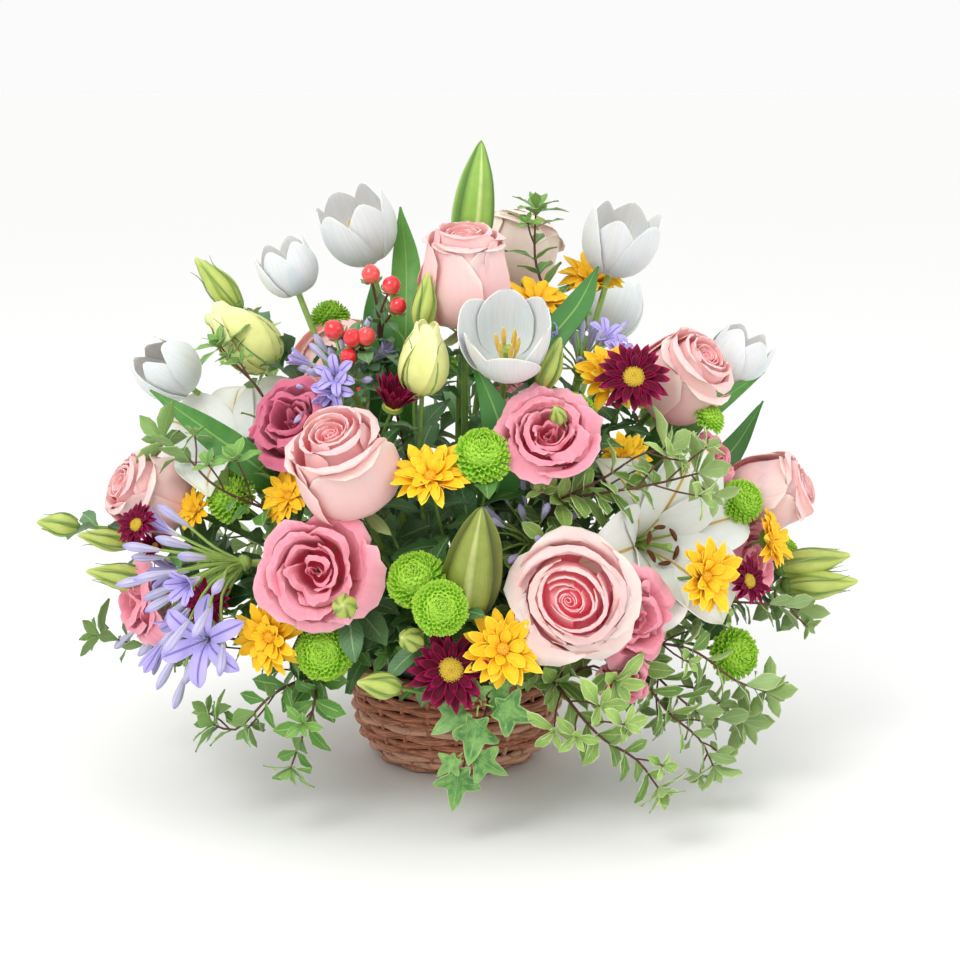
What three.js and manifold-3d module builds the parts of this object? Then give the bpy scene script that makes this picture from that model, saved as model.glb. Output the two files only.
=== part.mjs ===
// A round willow basket packed with cut flowers and greenery. Its front faces -Y.
// Sizes are in millimetres, +Z is up, and the origin is the middle of the basket's underside.
//
// The basket holds a plastic pot liner and a block of floral foam. Every cut stem, with the
// blooms, buds and leaves that grow on it, is one piece, pushed into its own hole in the foam.
import * as THREE from "three";
import { mergeVertices } from "three/addons/utils/BufferGeometryUtils.js";
import Module from "manifold-3d";

const wasm = await Module();
wasm.setup();

// ---- Driving dimensions ------------------------------------------------------------------

const BASKET_HEIGHT = 80;
const BASKET_RADIUS = 85;
const FOOT_RADIUS = 60;
const WALL = 6;
const BASE_THICKNESS = 5;
const BASE_FLARE = 1;
const RIM_RADIUS = 5;
const RIM_SIDES = 8;
const LINER_WALL = 1;
const LINER_RADIUS = 76;
const LINER_TOP = BASKET_HEIGHT + 6;
const FOAM_RADIUS = 69;
const FOAM_TOP = 100;
const FOAM_CHAMFER = 6;
const GAP = 0.35;
const ROUND = 24;

// How the stems stand in the foam, and how thick and how finely stepped they are.
const STEM_DEPTH = 24;
const FOOT_SPREAD = 0.8;
const PULL = 0.35;
const ENTRY_RADIUS = 57;
const ENTRY_SPACING = 12.5;
const ENTRY_ROUNDS = 150;
const LEAN_MAX = THREE.MathUtils.degToRad(62);
const REACH_MAX = THREE.MathUtils.degToRad(85);
const STEM_SIDES = 5;
const STEM_STEPS = 4;
const THIN_STEM = 2.5;
const SIDE_SIDES = 4;
const SIDE_STEP = 70;
const SHOOT_STEPS = 3;
const CLEARANCE = 0.5;

// Leaves: where along a leaf its sections stand, and the share of its width that each has.
const LEAF_THICKNESS = 1.6;
const LONG_LEAF = [[0.25, 0.75], [0.62, 1]];
const SMALL_LEAF = [[0.55, 1]];
const SMALL_LEAF_WIDTH = 0.5;
const LEAF_RAKE = 0.7;
const LEAST_TURN = 0.3;
const LOWEST_LEAF = 8;

// Outlines as [radius, height], from the foot up.
const WALL_OUTLINE = [
  [FOOT_RADIUS, 0],
  [73, 12],
  [80, 32],
  [84, 56],
  [BASKET_RADIUS, BASKET_HEIGHT - 2 * RIM_RADIUS],
];
const LINER_FLOOR = BASE_THICKNESS + GAP;
const LINER_OUTLINE = [
  [56, LINER_FLOOR],
  [65.5, 12],
  [73.2, 32],
  [LINER_RADIUS, 52],
  [LINER_RADIUS, LINER_TOP],
];
const FOAM_FLOOR = LINER_FLOOR + LINER_WALL + GAP;
const FOAM_OUTLINE = [
  [0, FOAM_FLOOR],
  [52, FOAM_FLOOR],
  [63, 16],
  [FOAM_RADIUS - 1, 34],
  [FOAM_RADIUS, FOAM_TOP - FOAM_CHAMFER],
  [FOAM_RADIUS - FOAM_CHAMFER, FOAM_TOP],
  [0, FOAM_TOP],
];

const FRONT = new THREE.Vector3(0, -1, 0);
const FOCUS = new THREE.Vector3(0, 0, 60);
const outwards = (point) => new THREE.Vector3().subVectors(point, FOCUS).normalize();
const vector = ([x, y, z]) => new THREE.Vector3(x, y, z);

// ---- Solids ------------------------------------------------------------------------------

// A closed geometry as a solid. One whose faces point inwards is turned inside out.
function solid(geometry) {
  geometry.deleteAttribute("normal");
  geometry.deleteAttribute("uv");
  const merged = mergeVertices(geometry);
  const vertProperties = merged.attributes.position.array;
  const triVerts = new Uint32Array(merged.index.array);
  const made = new wasm.Manifold(new wasm.Mesh({ numProp: 3, vertProperties, triVerts }));
  if (made.volume() > 0) return made;
  triVerts.reverse();
  return new wasm.Manifold(new wasm.Mesh({ numProp: 3, vertProperties, triVerts }));
}

function geometryOf(manifold) {
  const mesh = manifold.getMesh();
  const points = new Float32Array(mesh.numVert * 3);
  for (let i = 0; i < mesh.numVert; i++)
    points.set(mesh.vertProperties.subarray(i * mesh.numProp, i * mesh.numProp + 3), i * 3);
  const geometry = new THREE.BufferGeometry();
  geometry.setAttribute("position", new THREE.BufferAttribute(points, 3));
  geometry.setIndex(new THREE.BufferAttribute(mesh.triVerts, 1));
  return geometry;
}

const join = (solids) => solids.reduce((joined, one) => joined.add(one));

// A profile of [radius, height] points spun about +Z.
function turned(profile, sides = ROUND) {
  const points = profile.map(([r, z]) => new THREE.Vector2(r, z));
  return solid(new THREE.LatheGeometry(points, sides).rotateX(Math.PI / 2));
}

// A profile at a size, larger all round by a clearance.
function sized(profile, size, clearance) {
  const widest = profile.reduce((best, [r], i) => (r > profile[best][0] ? i : best), 0);
  return profile.map(([r, z], i) => [
    r && r * size + clearance,
    z * size + clearance * Math.sign(i - widest),
  ]);
}

// Stands a solid that points along +Z at a place, pointing in a direction.
function aimed(shape, at, direction) {
  const turn = new THREE.Quaternion().setFromUnitVectors(new THREE.Vector3(0, 0, 1), direction);
  const place = new THREE.Matrix4().compose(at, turn, new THREE.Vector3(1, 1, 1));
  return shape.transform(place.elements);
}

// A stem: a section with so many sides, drawn along a smooth curve through the points.
function tube(points, radius, sides, steps) {
  const corners = [];
  for (let i = 0; i < sides; i++) {
    const angle = (i / sides) * 2 * Math.PI;
    corners.push(new THREE.Vector2(radius * Math.cos(angle), radius * Math.sin(angle)));
  }
  const extrudePath = new THREE.CatmullRomCurve3(points);
  const settings = { steps, bevelEnabled: false, extrudePath };
  return solid(new THREE.ExtrudeGeometry(new THREE.Shape(corners), settings));
}

// A leaf or petal that comes to a point at both ends. Each section between them is a lozenge,
// given by its middle, the directions across it and out of its face, and its half width.
function ribbon(start, sections, end, thickness) {
  const points = [start];
  for (const { middle, across, face, half } of sections)
    points.push(
      middle.clone().addScaledVector(across, -half),
      middle.clone().addScaledVector(face, thickness / 2),
      middle.clone().addScaledVector(across, half),
      middle.clone().addScaledVector(face, -thickness / 2),
    );
  points.push(end);
  const last = points.length - 1;
  const index = [];
  for (let i = 0; i < 4; i++) {
    const next = (i + 1) % 4;
    index.push(0, 1 + next, 1 + i, last, last - 4 + i, last - 4 + next);
    for (let ring = 1; ring + 4 < last; ring += 4)
      index.push(ring + i, ring + next, ring + 4 + next, ring + i, ring + 4 + next, ring + 4 + i);
  }
  const geometry = new THREE.BufferGeometry().setFromPoints(points);
  geometry.setIndex(index);
  return solid(geometry);
}

// A leaf along a line of points, with its flat side turned outwards from the arrangement, or
// forwards where it points straight outwards.
function blade(spine, width, clearance, widths = LONG_LEAF) {
  const curve = new THREE.CatmullRomCurve3(spine);
  const end = spine[spine.length - 1].clone();
  const chord = new THREE.Vector3().subVectors(end, spine[0]).normalize();
  const across = new THREE.Vector3().crossVectors(chord, outwards(curve.getPoint(0.5)));
  if (across.length() < LEAST_TURN) across.crossVectors(chord, FRONT);
  across.normalize();
  const sections = widths.map(([t, share]) => {
    const face = new THREE.Vector3().crossVectors(across, curve.getTangent(t)).normalize();
    return { middle: curve.getPoint(t), across, face, half: (width * share) / 2 + clearance };
  });
  end.addScaledVector(chord, clearance);
  return ribbon(spine[0], sections, end, LEAF_THICKNESS + 2 * clearance);
}

// ---- Blooms: each stands on its neck at the origin and faces +Z, for a size of 1 ----------

const OUTLINES = {
  tulip: [[0, 0], [0.22, 0.04], [0.46, 0.32], [0.46, 0.62], [0.36, 1], [0.2, 0.6], [0, 0.5]],
  open_tulip: [[0, 0], [0.25, 0.05], [0.48, 0.35], [0.56, 0.82], [0.36, 0.45], [0, 0.2]],
  rose: [[0, 0], [0.12, 0.02], [0.4, 0.2], [0.5, 0.55], [0.42, 0.9], [0, 1]],
  open_rose: [[0, 0], [0.12, 0.04], [0.34, 0.16], [0.5, 0.42], [0.4, 0.54], [0, 0.56]],
  lisianthus: [[0, 0], [0.24, 0.2], [0.5, 0.5], [0.4, 0.6], [0, 0.52]],
  bud: [[0, 0], [0.2, 0.25], [0.18, 0.6], [0, 1]],
  lily_bud: [[0, 0], [0.1, 0.04], [0.19, 0.4], [0.13, 0.75], [0, 1]],
  button: [[0, 0], [0.3, 0.06], [0.5, 0.34], [0.36, 0.62], [0, 0.72]],
  yellow: [[0, 0], [0.14, 0.03], [0.5, 0.22], [0.44, 0.3], [0, 0.3]],
  burgundy: [[0, 0], [0.14, 0.03], [0.5, 0.22], [0.44, 0.3], [0, 0.3]],
  berry: [[0, 0], [0.48, 0.45], [0, 1]],
};
// How far each bloom's middle is above its neck, for a size of 1.
const MIDDLES = {
  tulip: 0.5, open_tulip: 0.45, rose: 0.5, open_rose: 0.3, lisianthus: 0.3, bud: 0.5,
  lily_bud: 0.5, button: 0.36, yellow: 0.15, burgundy: 0.15, berry: 0.5, lily: 0, umbel: 0,
};
const NECK_SHARE = 0.8;
const NECK_LEAST = 2;
const BLOOM_SIDES = { berry: 5, bud: 5, lily_bud: 6, button: 6, yellow: 6, burgundy: 6 };
const USUAL_BLOOM_SIDES = 7;

const THROAT_SIDES = 6;
const LILY_PETALS = 6;
const LILY_THROAT = [[0, -0.02], [0.05, 0], [0.09, 0.3], [0, 0.3]];
const LILY_HALF_WIDTHS = [0.11, 0.15];
const LILY_SPINE = [[0.01, 0], [0.16, 0.3], [0.44, 0.52], [0.68, 0.5]];
const FLORETS = 8;
const FLORET_SIDES = 4;
const UMBEL_HUB = [[0, -0.04], [0.07, 0], [0, 0.06]];
const UMBEL_SPREAD = 1.15;
const FIRST_FLORET = 0.3;
const FLORET = [[0, 0], [0.09, 0.75], [0, 1]];
const GOLDEN_ANGLE = Math.PI * (3 - Math.sqrt(5));

// A lily: six petals that flare from a narrow throat and bend back at their tips.
function lily(size, clearance) {
  const petals = [turned(sized(LILY_THROAT, size, clearance), THROAT_SIDES)];
  for (let i = 0; i < LILY_PETALS; i++) {
    const angle = (i / LILY_PETALS) * 2 * Math.PI;
    const across = new THREE.Vector3(-Math.sin(angle), Math.cos(angle), 0);
    const [start, low, high, end] = LILY_SPINE.map(([r, z]) =>
      new THREE.Vector3(r * Math.cos(angle), r * Math.sin(angle), z).multiplyScalar(size),
    );
    const half = size * LILY_HALF_WIDTHS[i % 2] + clearance;
    const sections = [
      [low, start, high],
      [high, low, end],
    ].map(([middle, before, after]) => {
      const along = new THREE.Vector3().subVectors(after, before).normalize();
      return { middle, across, face: new THREE.Vector3().crossVectors(across, along), half };
    });
    end.add(new THREE.Vector3().subVectors(end, high).setLength(clearance));
    petals.push(ribbon(start, sections, end, 2 * LEAF_THICKNESS + 2 * clearance));
  }
  return join(petals);
}

// An umbel: slim florets that fan out from the top of one thick stalk.
function umbel(size, clearance) {
  const florets = [turned(sized(UMBEL_HUB, size, clearance), THROAT_SIDES)];
  for (let i = 0; i < FLORETS; i++) {
    const tilt = UMBEL_SPREAD * Math.sqrt((i + FIRST_FLORET) / FLORETS);
    const direction = new THREE.Vector3().setFromSphericalCoords(1, tilt, i * GOLDEN_ANGLE);
    direction.set(direction.z, direction.x, direction.y);
    const floret = turned(sized(FLORET, size, clearance), FLORET_SIDES);
    florets.push(aimed(floret, new THREE.Vector3(), direction));
  }
  return join(florets);
}

function bloomSolid({ kind, size, neck, facing }, clearance) {
  if (kind === "lily") return aimed(lily(size, clearance), neck, facing);
  if (kind === "umbel") return aimed(umbel(size, clearance), neck, facing);
  const sides = BLOOM_SIDES[kind] ?? USUAL_BLOOM_SIDES;
  return aimed(turned(sized(OUTLINES[kind], size, clearance), sides), neck, facing);
}

// ---- The cut stems -----------------------------------------------------------------------

// One bloom: its kind, its middle, the way it faces and its size (length or diameter). Its
// stem runs on past its neck to a depth that holds it firmly.
function bloom(kind, middle, face, size) {
  const facing = vector(face).normalize();
  const height = MIDDLES[kind] * size;
  const neck = vector(middle).addScaledVector(facing, -height);
  return { kind, facing, neck, size, depth: Math.max(NECK_SHARE * height, NECK_LEAST) };
}

// One long leaf that leaves the stem, passes through the given points and ends at the last.
const leaf = (points, width) => ({ points: points.map(vector), width });

// A flower stem: radius, blooms and long leaves. The first bloom ends the main stem, and the
// others grow on side stems that leave it at a fork, so many steps up.
const stem = (name, radius, blooms, leaves = [], fork = 2) => ({
  name, radius, blooms, leaves, fork, shoots: [],
});

// A leafy branch: radius, leaf length and shoots. The first shoot is the main one.
const sprig = (name, radius, leafLength, shoots) => ({
  name, radius, leafLength, shoots: shoots.map((points) => points.map(vector)),
  blooms: [], leaves: [], fork: STEM_STEPS,
});

const STEMS = [
  stem("rose_right_front", 3, [bloom("open_rose", [83, -183, 174], [0, -9, 2], 90)]),
  stem("rose_left_front", 3, [bloom("rose", [-76, -157, 261], [-2, -6, 6], 78)]),
  stem("rose_top", 3, [bloom("rose", [8, -67, 385], [0, -2, 9], 76)]),
  stem("rose_top_back", 3, [bloom("rose", [45, 70, 386], [3, 3, 8], 70)]),
  stem("rose_right", 3, [bloom("rose", [167, -62, 307], [5, -4, 6], 68)]),
  stem("rose_far_right", 3, [bloom("rose", [236, -44, 222], [8, -2, 3], 68)]),
  stem("rose_far_left", 3, [bloom("rose", [-225, -66, 224], [-7, -4, 4], 66)]),
  stem("rose_back", 3, [bloom("rose", [-95, 125, 285], [-4, 7, 5], 74)]),
  stem("tulip_high_left", 2.8, [bloom("tulip", [-74, 7, 412], [-3, -3, 8], 60)],
    [leaf([[-38, -10, 320], [-38, 10, 385], [-42, 12, 425]], 24)]),
  stem("tulip_left", 2.8, [bloom("tulip", [-125, -16, 382], [-3, -1, 8], 50)],
    [leaf([[-52, -45, 300], [-58, -35, 345], [-62, -30, 372]], 24)]),
  stem("tulip_far_left", 2.8, [bloom("tulip", [-220, -8, 305], [-8, -3, 5], 56)],
    [leaf([[-131, -85, 236], [-172, -88, 268], [-228, -30, 292]], 26)]),
  stem("tulip_centre", 2.8, [bloom("open_tulip", [37, -125, 341], [0, -6, 7], 68)],
    [leaf([[30, -118, 235], [32, -128, 281], [12, -112, 330]], 30)]),
  stem("tulip_high_right", 2.8, [bloom("tulip", [123, 5, 400], [2, -3, 8], 60)],
    [leaf([[64, -62, 325], [89, -47, 357], [106, -10, 382]], 24)]),
  stem("tulip_back_right", 2.8, [bloom("tulip", [126, 120, 338], [3, 3, 8], 56)]),
  stem("tulip_right", 2.8, [bloom("tulip", [215, -4, 316], [4, -1, 7], 50)],
    [leaf([[150, -55, 258], [187, -40, 280], [233, -7, 302]], 22),
      leaf([[185, -30, 225], [212, -12, 246], [233, -7, 280]], 22)]),
  stem("lily_right", 3.2, [
    bloom("lily", [112, -108, 176], [6, -5, 2], 92),
    bloom("lily_bud", [14, -172, 196], [1, -3, 8], 92),
  ]),
  stem("lily_left", 3.2, [bloom("lily", [-142, -20, 232], [-8, -3, 4], 92)]),
  stem("lily_bud_top", 3.2, [bloom("lily_bud", [14, -6, 430], [1, 0, 9], 96)]),
  stem("lisianthus_left_front", 2, [
    bloom("lisianthus", [-94, -168, 189], [-1, -9, 2], 82),
    bloom("bud", [-73, -205, 174], [0, -9, 3], 30),
    bloom("bud", [-30, -189, 146], [-3, -8, 3], 30),
    bloom("bud", [-52, -184, 112], [-7, -4, 2], 34),
  ]),
  stem("lisianthus_centre", 2, [
    bloom("lisianthus", [65, -146, 278], [0, -7, 5], 72),
    bloom("bud", [68, -118, 325], [3, 0, 9], 40),
  ]),
  stem("lisianthus_top", 2, [
    bloom("bud", [-21, -130, 330], [1, -1, 9], 50),
    bloom("bud", [-21, -93, 366], [1, 0, 9], 42),
  ]),
  stem("lisianthus_upper_left", 2, [
    bloom("lisianthus", [-113, -97, 278], [-4, -5, 5], 66),
    bloom("bud", [-158, -20, 330], [-7, 2, 6], 62),
    bloom("bud", [-180, 0, 369], [-6, 0, 7], 50),
  ]),
  stem("lisianthus_low_right", 2, [
    bloom("lisianthus", [134, -141, 152], [6, -6, 1], 70),
    bloom("lisianthus", [122, -140, 106], [2, -8, -2], 38),
  ]),
  stem("lisianthus_right", 2, [
    bloom("lisianthus", [212, -66, 176], [6, -5, 1], 58),
    bloom("lisianthus", [186, -66, 248], [5, -4, 5], 40),
    bloom("bud", [272, -30, 160], [9, -1, 2], 56),
    bloom("bud", [277, -36, 144], [9, -1, 1], 56),
  ]),
  stem("lisianthus_far_left", 2, [
    bloom("lisianthus", [-229, -78, 142], [-8, -4, 0], 60),
    bloom("bud", [-248, -84, 163], [-9, -2, 2], 46),
    bloom("bud", [-262, -56, 184], [-9, -2, 2], 40),
    bloom("bud", [-302, -30, 189], [-9, 0, 1], 32),
  ]),
  stem("lisianthus_back", 2, [
    bloom("lisianthus", [60, 160, 240], [2, 8, 4], 74),
    bloom("lisianthus", [-30, 170, 165], [-1, 9, 2], 66),
    bloom("bud", [10, 150, 310], [0, 4, 8], 46),
  ]),
  stem("buttons_front", 1.6, [
    bloom("button", [-28, -175, 188], [-2, -6, 5], 40),
    bloom("button", [-8, -200, 172], [1, -8, 3], 37),
    bloom("button", [20, -165, 274], [0, -6, 7], 40),
  ]),
  stem("buttons_left", 1.6, [
    bloom("button", [-166, -94, 229], [-5, -5, 6], 38),
    bloom("button", [-98, 14, 347], [-2, 0, 9], 30),
  ]),
  stem("buttons_low_left", 1.6, [bloom("button", [-92, -168, 130], [-1, -8, 2], 39)]),
  stem("buttons_right", 1.6, [
    bloom("button", [208, -106, 109], [5, -7, 1], 38),
    bloom("button", [256, -15, 166], [8, -2, 4], 24),
    bloom("button", [212, -88, 222], [6, -8, 5], 32),
  ], [], 3),
  stem("buttons_upper_right", 1.6, [
    bloom("button", [86, -112, 294], [2, -4, 7], 32),
    bloom("button", [186, -82, 283], [5, -3, 7], 24),
  ]),
  stem("buttons_back", 1.6, [
    bloom("button", [-20, 150, 290], [0, 6, 6], 38),
    bloom("button", [132, 116, 200], [7, 6, 3], 38),
    bloom("button", [-140, 120, 180], [-6, 7, 3], 38),
  ]),
  stem("yellow_front", 1.6, [
    bloom("yellow", [37, -183, 138], [2, -7, 2], 58),
    bloom("yellow", [-16, -166, 256], [-1, -6, 7], 54),
  ]),
  stem("yellow_left", 1.6, [
    bloom("yellow", [-130, -158, 138], [-4, -8, 1], 54),
    bloom("yellow", [-118, -122, 232], [-4, -6, 5], 44),
    bloom("yellow", [-190, -88, 214], [-5, -6, 4], 32),
  ]),
  stem("yellow_top", 1.6, [
    bloom("yellow", [104, 36, 366], [2, 2, 9], 54),
    bloom("yellow", [60, -29, 360], [1, -4, 8], 50),
  ]),
  stem("yellow_right", 1.6, [
    bloom("yellow", [180, -137, 178], [7, -5, 2], 54),
    bloom("yellow", [230, -80, 190], [8, -4, 3], 44),
    bloom("yellow", [112, -88, 312], [2, -6, 5], 54),
    bloom("yellow", [120, -116, 258], [2, -7, 4], 40),
  ]),
  stem("yellow_back", 1.6, [
    bloom("yellow", [20, 180, 200], [0, 9, 3], 54),
    bloom("yellow", [160, 105, 250], [6, 5, 5], 50),
    bloom("yellow", [-170, 95, 245], [-6, 5, 5], 50),
  ]),
  stem("burgundy_front", 1.6, [
    bloom("burgundy", [-2, -188, 124], [0, -9, 2], 60),
    bloom("burgundy", [-42, -134, 300], [2, -4, 8], 38),
  ], [], 3),
  stem("burgundy_upper_right", 1.6, [
    bloom("burgundy", [126, -114, 316], [0, -8, 5], 54),
    bloom("bud", [71, -156, 296], [-2, -6, 5], 20),
  ]),
  stem("burgundy_left", 1.6, [
    bloom("burgundy", [-227, -94, 212], [-4, -7, 5], 36),
    bloom("burgundy", [-214, -96, 196], [-2, -8, 3], 22),
    bloom("burgundy", [-178, -119, 156], [-2, -7, 4], 36),
  ]),
  stem("burgundy_right", 1.6, [bloom("burgundy", [216, -93, 163], [7, -5, 4], 40)]),
  stem("agapanthus_left", 3.2, [bloom("umbel", [-150, -118, 182], [-8, -3, -3], 92)]),
  stem("agapanthus_upper_left", 3.2, [bloom("umbel", [-76, -66, 300], [-3, -4, 5], 56)]),
  stem("agapanthus_upper_right", 3.2, [bloom("umbel", [92, -30, 300], [1, -3, 8], 60)]),
  stem("agapanthus_centre", 3.2, [bloom("umbel", [56, -112, 190], [0, -6, 6], 62)]),
  stem("hypericum", 1.3, [
    bloom("berry", [-60, -76, 384], [-1, -2, 9], 11),
    bloom("berry", [-45, -78, 376], [3, -2, 8], 11),
    bloom("berry", [-40, -84, 362], [4, -4, 6], 10),
    bloom("berry", [-86, -92, 346], [-6, -3, 7], 12),
    bloom("berry", [-72, -104, 342], [-3, -6, 6], 11),
    bloom("berry", [-62, -104, 343], [1, -6, 7], 11),
    bloom("berry", [-75, -104, 328], [-3, -8, 2], 10),
  ], [], 3),
  sprig("sprig_top", 1.2, 26, [[[72, -6, 350], [60, 6, 384], [60, 8, 424]]]),
  sprig("sprig_left", 1.2, 26, [
    [[-126, -104, 214], [-168, -122, 238], [-193, -99, 256], [-215, -72, 262]],
    [[-140, -60, 291], [-162, -38, 311], [-174, -40, 327]],
  ]),
  sprig("sprig_centre_right", 1.2, 28, [
    [[74, -140, 233], [104, -152, 251], [128, -148, 266], [148, -139, 269]],
    [[135, -153, 246], [172, -131, 250]],
  ]),
  sprig("sprig_right", 1.2, 26, [
    [[118, -132, 129], [168, -134, 122], [201, -126, 97], [228, -106, 81]],
    [[177, -120, 70], [214, -93, 54]],
    [[150, -140, 80], [176, -140, 56], [186, -142, 36]],
    [[190, -84, 142], [224, -76, 140], [263, -30, 122]],
  ]),
  sprig("sprig_low_right", 1.2, 26, [
    [[71, -150, 102], [101, -185, 75], [128, -195, 56], [147, -209, 34]],
    [[98, -160, 118], [112, -178, 112]],
  ]),
  sprig("sprig_low_left", 1.2, 24, [
    [[-98, -130, 104], [-128, -157, 96], [-155, -160, 71], [-171, -157, 74]],
    [[-100, -162, 84], [-108, -173, 66], [-114, -182, 50]],
    [[-170, -90, 118], [-235, -50, 100], [-274, -33, 103]],
  ]),
  sprig("ivy", 1.2, 30, [[[24, -140, 104], [22, -172, 88], [10, -186, 66], [3, -196, 40]]]),
  sprig("sprig_back_left", 1.2, 30, [
    [[-80, 90, 130], [-150, 140, 140], [-200, 150, 120]],
    [[-70, 160, 100], [-80, 190, 60], [-80, 200, 36]],
    [[-120, 90, 230], [-170, 80, 310]],
    [[-40, 120, 220], [-50, 150, 260]],
  ]),
  sprig("sprig_back_right", 1.2, 30, [
    [[80, 90, 120], [160, 130, 110], [220, 110, 80]],
    [[70, 160, 110], [60, 200, 70], [60, 210, 40]],
    [[110, 110, 250], [180, 80, 290]],
    [[150, 80, 170], [230, 60, 190]],
  ]),
];

// ---- How the stems stand in the foam -----------------------------------------------------

// The first point that a stem makes for once it is out of the foam.
const aimOf = ({ blooms, shoots }) => (blooms.length ? blooms[0].neck : shoots[0][0]);

// Each stem enters the foam's top on the side it leans to. Entries that are too close are
// eased apart, and the further out a stem stands, the more it leans.
function setEntries(stems) {
  for (const one of stems) {
    const aim = aimOf(one);
    const reach = Math.hypot(aim.x, aim.y);
    const angle = Math.atan2(reach, aim.z - FOAM_TOP);
    const radius = ENTRY_RADIUS * Math.min(angle / REACH_MAX, 1);
    one.entry = new THREE.Vector3((aim.x / reach) * radius, (aim.y / reach) * radius, FOAM_TOP);
  }
  for (let round = 0; round < ENTRY_ROUNDS; round++) {
    for (let i = 0; i < stems.length; i++)
      for (let j = i + 1; j < stems.length; j++) {
        const apart = new THREE.Vector3().subVectors(stems[j].entry, stems[i].entry);
        const short = ENTRY_SPACING - apart.length();
        if (short <= 0) continue;
        apart.normalize().multiplyScalar(short / 2);
        stems[j].entry.add(apart);
        stems[i].entry.sub(apart);
      }
    for (const { entry } of stems) {
      const share = Math.min(ENTRY_RADIUS / Math.hypot(entry.x, entry.y), 1);
      entry.set(entry.x * share, entry.y * share, FOAM_TOP);
    }
  }
  for (const one of stems)
    one.lean = (LEAN_MAX * Math.hypot(one.entry.x, one.entry.y)) / ENTRY_RADIUS;
}

// The line a stem follows: a straight foot in the foam and a bow up to where it ends.
function routeOf(one) {
  const aim = aimOf(one);
  const level = new THREE.Vector3(aim.x - one.entry.x, aim.y - one.entry.y, 0).normalize();
  const start = level.multiplyScalar(Math.sin(one.lean));
  start.z = Math.cos(one.lean);
  const foot = one.entry.clone().multiplyScalar(FOOT_SPREAD);
  foot.z = FOAM_TOP - STEM_DEPTH;
  const pull = one.entry.distanceTo(aim) * PULL;
  const after = one.entry.clone().addScaledVector(start, pull);
  if (one.shoots.length) return [foot, one.entry, after, aim];
  const { facing, depth } = one.blooms[0];
  const before = aim.clone().addScaledVector(facing, -pull);
  const bow = new THREE.CubicBezierCurve3(one.entry, after, before, aim);
  const end = aim.clone().addScaledVector(facing, depth);
  return [foot, one.entry, bow.getPoint(1 / 3), bow.getPoint(2 / 3), end];
}

// Where the side stems leave the main stem. A leafy branch parts at the end of its main stem.
const forkOf = (one) =>
  new THREE.CatmullRomCurve3(routeOf(one)).getSpacedPoints(STEM_STEPS)[one.fork];

// The main stem and its side stems or shoots, larger all round by a clearance.
function stalkOf(one, clearance = 0) {
  const radius = one.radius + clearance;
  const route = routeOf(one);
  const fork = forkOf(one);
  route[0].z -= clearance;
  const sides = one.radius < THIN_STEM ? SIDE_SIDES : STEM_SIDES;
  const tubes = [tube(route, radius, sides, STEM_STEPS)];
  for (const { neck, facing, depth } of one.blooms.slice(1)) {
    const bend = neck.clone().addScaledVector(facing, -PULL * fork.distanceTo(neck));
    const points = [fork, bend, neck.clone().addScaledVector(facing, depth)];
    const steps = Math.ceil(fork.distanceTo(neck) / SIDE_STEP);
    tubes.push(tube(points, radius, SIDE_SIDES, steps));
  }
  for (const shoot of shootsOf(one)) tubes.push(tube(shoot, radius, SIDE_SIDES, SHOOT_STEPS));
  return join(tubes);
}

// A leafy branch's shoots all start where its main stem ends.
const shootsOf = ({ shoots }) =>
  shoots.map((shoot, i) => (i ? [shoots[0][0], ...shoot] : shoot));

// The small leaves of a leafy branch: left and right in turn along a shoot, and one at its tip.
function sprigLeaves(one, clearance) {
  const leaves = [];
  for (const shoot of shootsOf(one)) {
    const curve = new THREE.CatmullRomCurve3(shoot);
    curve.getSpacedPoints(SHOOT_STEPS).forEach((root, step) => {
      const along = curve.getTangentAt(step / SHOOT_STEPS);
      const out = new THREE.Vector3().crossVectors(along, outwards(root)).normalize();
      const side = step < SHOOT_STEPS ? (-1) ** step : 0;
      const way = along.clone().multiplyScalar(LEAF_RAKE).addScaledVector(out, side);
      const tip = root.clone().addScaledVector(way.normalize(), one.leafLength);
      tip.z = Math.max(tip.z, LOWEST_LEAF);
      root.addScaledVector(along, -one.radius);
      const width = one.leafLength * SMALL_LEAF_WIDTH;
      leaves.push(blade([root, tip], width, clearance, SMALL_LEAF));
    });
  }
  return leaves;
}

// The blooms and leaves of a stem, larger all round by a clearance.
function headsOf(one, clearance = 0) {
  const fork = forkOf(one);
  return join([
    ...one.blooms.map((b) => bloomSolid(b, clearance)),
    ...one.leaves.map(({ points, width }) => blade([fork, ...points], width, clearance)),
    ...sprigLeaves(one, clearance),
  ]);
}

function near(a, b) {
  const [p, q] = [a.boundingBox(), b.boundingBox()];
  return [0, 1, 2].every((k) => p.min[k] < q.max[k] && q.min[k] < p.max[k]);
}

const without = (shape, other) => (near(shape, other) ? shape.subtract(other) : shape);

function largest(shape) {
  return shape.decompose().reduce((best, one) => (one.volume() > best.volume() ? one : best));
}

// Blooms and leaves leave room for every other stem, and for the blooms listed before them.
function stemSolids(stems, rods) {
  const grown = stems.map((one) => headsOf(one, CLEARANCE));
  return stems.map((one, i) => {
    let heads = headsOf(one);
    for (let j = 0; j < stems.length; j++) {
      if (j === i) continue;
      heads = without(heads, rods[j]);
      if (j < i) heads = without(heads, grown[j]);
    }
    return largest(stalkOf(one).add(heads));
  });
}

// ---- The basket and what it holds --------------------------------------------------------

function basketBase() {
  const radius = FOOT_RADIUS - WALL - GAP;
  return turned([
    [0, 0],
    [radius, 0],
    [radius + BASE_FLARE, BASE_THICKNESS],
    [0, BASE_THICKNESS],
  ]);
}

function basketWall() {
  const inner = WALL_OUTLINE.map(([r, z]) => [r - WALL, z]).reverse();
  return turned([...WALL_OUTLINE, ...inner, WALL_OUTLINE[0]]);
}

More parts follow.
